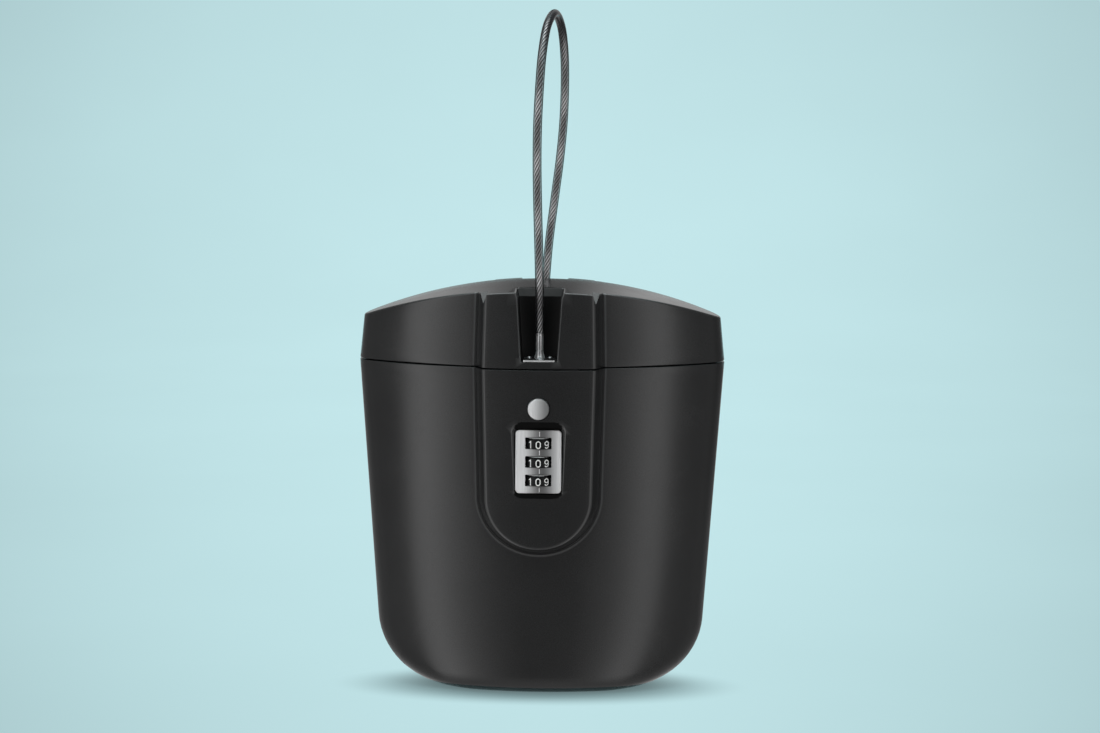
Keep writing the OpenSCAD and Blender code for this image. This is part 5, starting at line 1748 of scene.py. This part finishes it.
class SAFE_OT_stage(SafeOperator, bpy.types.Operator):
    """Sets the floor, the lights and the camera"""
    bl_idname = "safe.stage"
    bl_label = "Stage"

    def softbox_material(self):
        """Glow that changes with the azimuth: one bright strip on each side of the front, and two behind."""
        material, tree, shader = blank_material("softbox surround")
        place = here(tree)
        turn = node(tree, "ShaderNodeTexGradient", {"gradient_type": "RADIAL"}, Vector=place)
        ramp = node(tree, "ShaderNodeValToRGB", Fac=turn.outputs["Fac"])
        marks = ramp.color_ramp.elements
        while len(marks) > 1:
            marks.remove(marks[-1])
        for i, (azimuth, glow) in enumerate(SOFTBOXES):
            share = (azimuth / 360 + 0.25) % 1
            mark = marks[0] if i == 0 else marks.new(share)
            mark.position = share
            mark.color = (*[glow / BRIGHTEST] * 3, 1)
        # Even glow under the object and around its foot
        reach = vectors(tree, "LENGTH", vectors(tree, "MULTIPLY", place, (0.6, 1.0, 0.0))[0])["Value"]
        near = ranged(tree, reach, 0.035, 0.055, 1.0, 0.0)
        wide = ranged(tree, reach, 0.055, 0.5, 0.25, 0.0)
        foot = blended(tree, sums(tree, "MAXIMUM", near, wide), ramp.outputs["Color"], (0.28, 0.28, 0.28, 1))
        glow = node(tree, "ShaderNodeEmission", Color=foot, Strength=BRIGHTEST)
        clear = node(tree, "ShaderNodeBsdfTransparent")
        side = node(tree, "ShaderNodeNewGeometry").outputs["Backfacing"]
        show_mix(tree, side, glow.outputs[0], clear.outputs[0])
        tree.nodes.remove(shader)
        return material

    def floor_material(self, rgb, eye, ahead):
        """Pale floor with a partly real, partly painted shadow near the object, which fades to a painted
        backdrop farther out, with a painted vignette that darkens it away from the line that runs ahead of
        the eye."""
        material, tree, shader = blank_material("pale floor")
        place = here(tree)
        cloud = ranged(tree, noise(tree, place, 3.0, 3.0), 0.3, 0.7, 0.985, 1.015)
        sight = vectors(tree, "NORMALIZE", vectors(tree, "SUBTRACT", place, eye)[0])[0]
        middle = vectors(tree, "DOT_PRODUCT", sight, ahead)["Value"]
        paint = ranged(tree, middle, 0.967, 0.997, 0.823, 1.05)
        tint = scaled(tree, (*rgb,), sums(tree, "MULTIPLY", cloud, paint))
        # Painted shadow near the object: the lit floor, with its real shadow, is dimmed to 0.3 for camera
        # rays, so it is darker to the camera than to other rays
        ray = node(tree, "ShaderNodeLightPath").outputs
        painted_shadow_dim = ranged(tree, ray["Is Camera Ray"], 0.0, 1.0, 1.0, 0.3)
        tree.links.new(scaled(tree, tint, painted_shadow_dim), shader.inputs["Base Color"])
        shader.inputs["Roughness"].default_value = 0.9
        shader.inputs["Specular IOR Level"].default_value = 0.0
        # Painted part: a glow of the floor's colour, which falls to a quarter within an oval set a little in
        # front of the object, so that the dimmed lit floor shows there as painted shadow
        glow = node(tree, "ShaderNodeEmission", Color=tint, Strength=1.0)
        oval = vectors(tree, "MULTIPLY_ADD", place, (0.5, 1.2, 1.0), (0.0, 0.0144, 0.0))[0]
        far = vectors(tree, "LENGTH", oval)["Value"]
        fade = ranged(tree, far, 0.022, 0.051, 0.25, 1.0, "SMOOTHSTEP")
        seen = sums(tree, "MAXIMUM", ray["Is Camera Ray"], ray["Is Glossy Ray"])
        seen = sums(tree, "MAXIMUM", seen, ray["Is Transmission Ray"])
        show_mix(tree, sums(tree, "MULTIPLY", seen, fade), shader.outputs[0], glow.outputs[0])
        return material

    def build(self, form):
        scene = bpy.context.scene
        rgb = scene.travel_safe.finish.stage
        # Camera
        data = bpy.data.cameras.new("camera")
        camera = bpy.data.objects.new("camera", data)
        scene.collection.objects.link(camera)
        scene.camera = camera
        lift, turn, roll = math.radians(6.9), math.radians(1.75), math.radians(0.4)
        right = Vector((math.cos(turn), math.sin(turn), 0))
        ahead = Vector((-math.sin(turn) * math.cos(lift), math.cos(turn) * math.cos(lift), -math.sin(lift)))
        level = Matrix.Rotation(-roll, 3, ahead)
        right, up = level @ right, level @ right.cross(ahead)
        across = (AIM_PIXEL[0] - IMAGE_WIDTH / 2) / FOCAL_PIXELS * CAMERA_DISTANCE
        rise = (IMAGE_HEIGHT / 2 - AIM_PIXEL[1]) / FOCAL_PIXELS * CAMERA_DISTANCE
        aim = Vector((0, 0, form.case.rim_z))
        data.sensor_width = 36.0
        data.lens = data.sensor_width * FOCAL_PIXELS / IMAGE_WIDTH
        data.clip_start, data.clip_end = 0.05, 50.0
        spot = aim - ahead * CAMERA_DISTANCE - right * across - up * rise
        camera.matrix_world = Matrix.Translation(spot) @ Matrix((right, up, -ahead)).transposed().to_4x4()
        # Floor that curves up into a backdrop
        bm = bmesh.new()
        profile = [(-FLOOR_FRONT, 0.0), (SWEEP_R, 0.0)] + arc(SWEEP_R, SWEEP_R, SWEEP_R, -82, 0, 18)
        profile.append((2 * SWEEP_R, BACKDROP_H))
        verts = [bm.verts.new((-FLOOR_HALF, y, z)) for y, z in profile]
        edges = [bm.edges.new(pair) for pair in zip(verts, verts[1:])]
        shift_new(bm, bmesh.ops.extrude_edge_only(bm, edges=edges), (2 * FLOOR_HALF, 0, 0))
        bmesh.ops.recalc_face_normals(bm, faces=bm.faces)
        floor = solid(bm, "floor")
        floor.data.shade_smooth()
        floor.data.materials.append(self.floor_material(rgb, spot, ahead))
        # Softboxes all around the set, which the camera does not see
        wall = turned([(1 * MM, SOFTBOX_LIFT), (SOFTBOX_R, SOFTBOX_LIFT), (SOFTBOX_R, SOFTBOX_H)], (0, 0, 0),
                      "Z", 72)
        top = [f for f in wall.faces if f.calc_center_median().z > SOFTBOX_H - 0.1]
        bmesh.ops.delete(wall, geom=top, context="FACES_ONLY")
        bmesh.ops.reverse_faces(wall, faces=wall.faces)
        shell = solid(wall, "softboxes")
        shell.visible_camera = shell.visible_shadow = False
        shell.data.materials.append(self.softbox_material())
        world = bpy.data.worlds.new("studio")
        scene.world = world
        world.use_nodes = True
        back = world.node_tree.nodes["Background"]
        back.inputs["Color"].default_value = (*rgb, 1)
        back.inputs["Strength"].default_value = 1.0
        # Softbox overhead, aimed at the safe
        wide, deep, glow = 1.2, 1.0, 4.0
        light = bpy.data.lights.new("overhead", "AREA")
        light.shape, light.size, light.size_y = "RECTANGLE", wide, deep
        light.energy = glow * math.pi * wide * deep
        lamp = bpy.data.objects.new("overhead", light)
        scene.collection.objects.link(lamp)
        lamp.location = (0, 0.2, 1.6)
        lamp.rotation_euler = (Vector((0, 0, 0.12)) - lamp.location).to_track_quat("-Z", "Y").to_euler()
        lamp.visible_camera = False
        scene.view_settings.view_transform = "Standard"


STEPS = (SAFE_OT_stage, SAFE_OT_cable, SAFE_OT_tub, SAFE_OT_lid, SAFE_OT_face_plate, SAFE_OT_dials,
         SAFE_OT_button, SAFE_OT_anchors, SAFE_OT_lid_fittings, SAFE_OT_lock_fittings, SAFE_OT_hidden)


class SAFE_PT_panel(bpy.types.Panel):
    """Build steps and sizes of the safe"""
    bl_idname = "SAFE_PT_panel"
    bl_label = "Travel Safe"
    bl_space_type = "VIEW_3D"
    bl_region_type = "UI"
    bl_category = "Travel Safe"

    def draw(self, context):
        safe = context.scene.travel_safe
        for step in STEPS:
            self.layout.operator(step.bl_idname)
        for group in (safe.case, safe.panel, safe.lock, safe.cable, safe.finish):
            box = self.layout.box()
            for name in group.__annotations__:
                box.prop(group, name)


CLASSES = (CaseSizes, PanelSizes, LockSizes, CableSizes, Finishes, SafeProperties) + STEPS + (SAFE_PT_panel,)


def register():
    """Adds the classes and the properties."""
    for cls in CLASSES:
        bpy.utils.register_class(cls)
    bpy.types.Scene.travel_safe = PointerProperty(type=SafeProperties)


def unregister():
    """Takes the properties and the classes away again."""
    del bpy.types.Scene.travel_safe
    for cls in reversed(CLASSES):
        bpy.utils.unregister_class(cls)


def main():
    """Registers the add-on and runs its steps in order."""
    register()
    bpy.ops.safe.stage()
    bpy.ops.safe.cable()
    bpy.ops.safe.tub()
    bpy.ops.safe.lid()
    bpy.ops.safe.face_plate()
    bpy.ops.safe.dials()
    bpy.ops.safe.button()
    bpy.ops.safe.anchors()
    bpy.ops.safe.lid_fittings()
    bpy.ops.safe.lock_fittings()
    bpy.ops.safe.hidden()


if __name__ == "__main__":
    main()
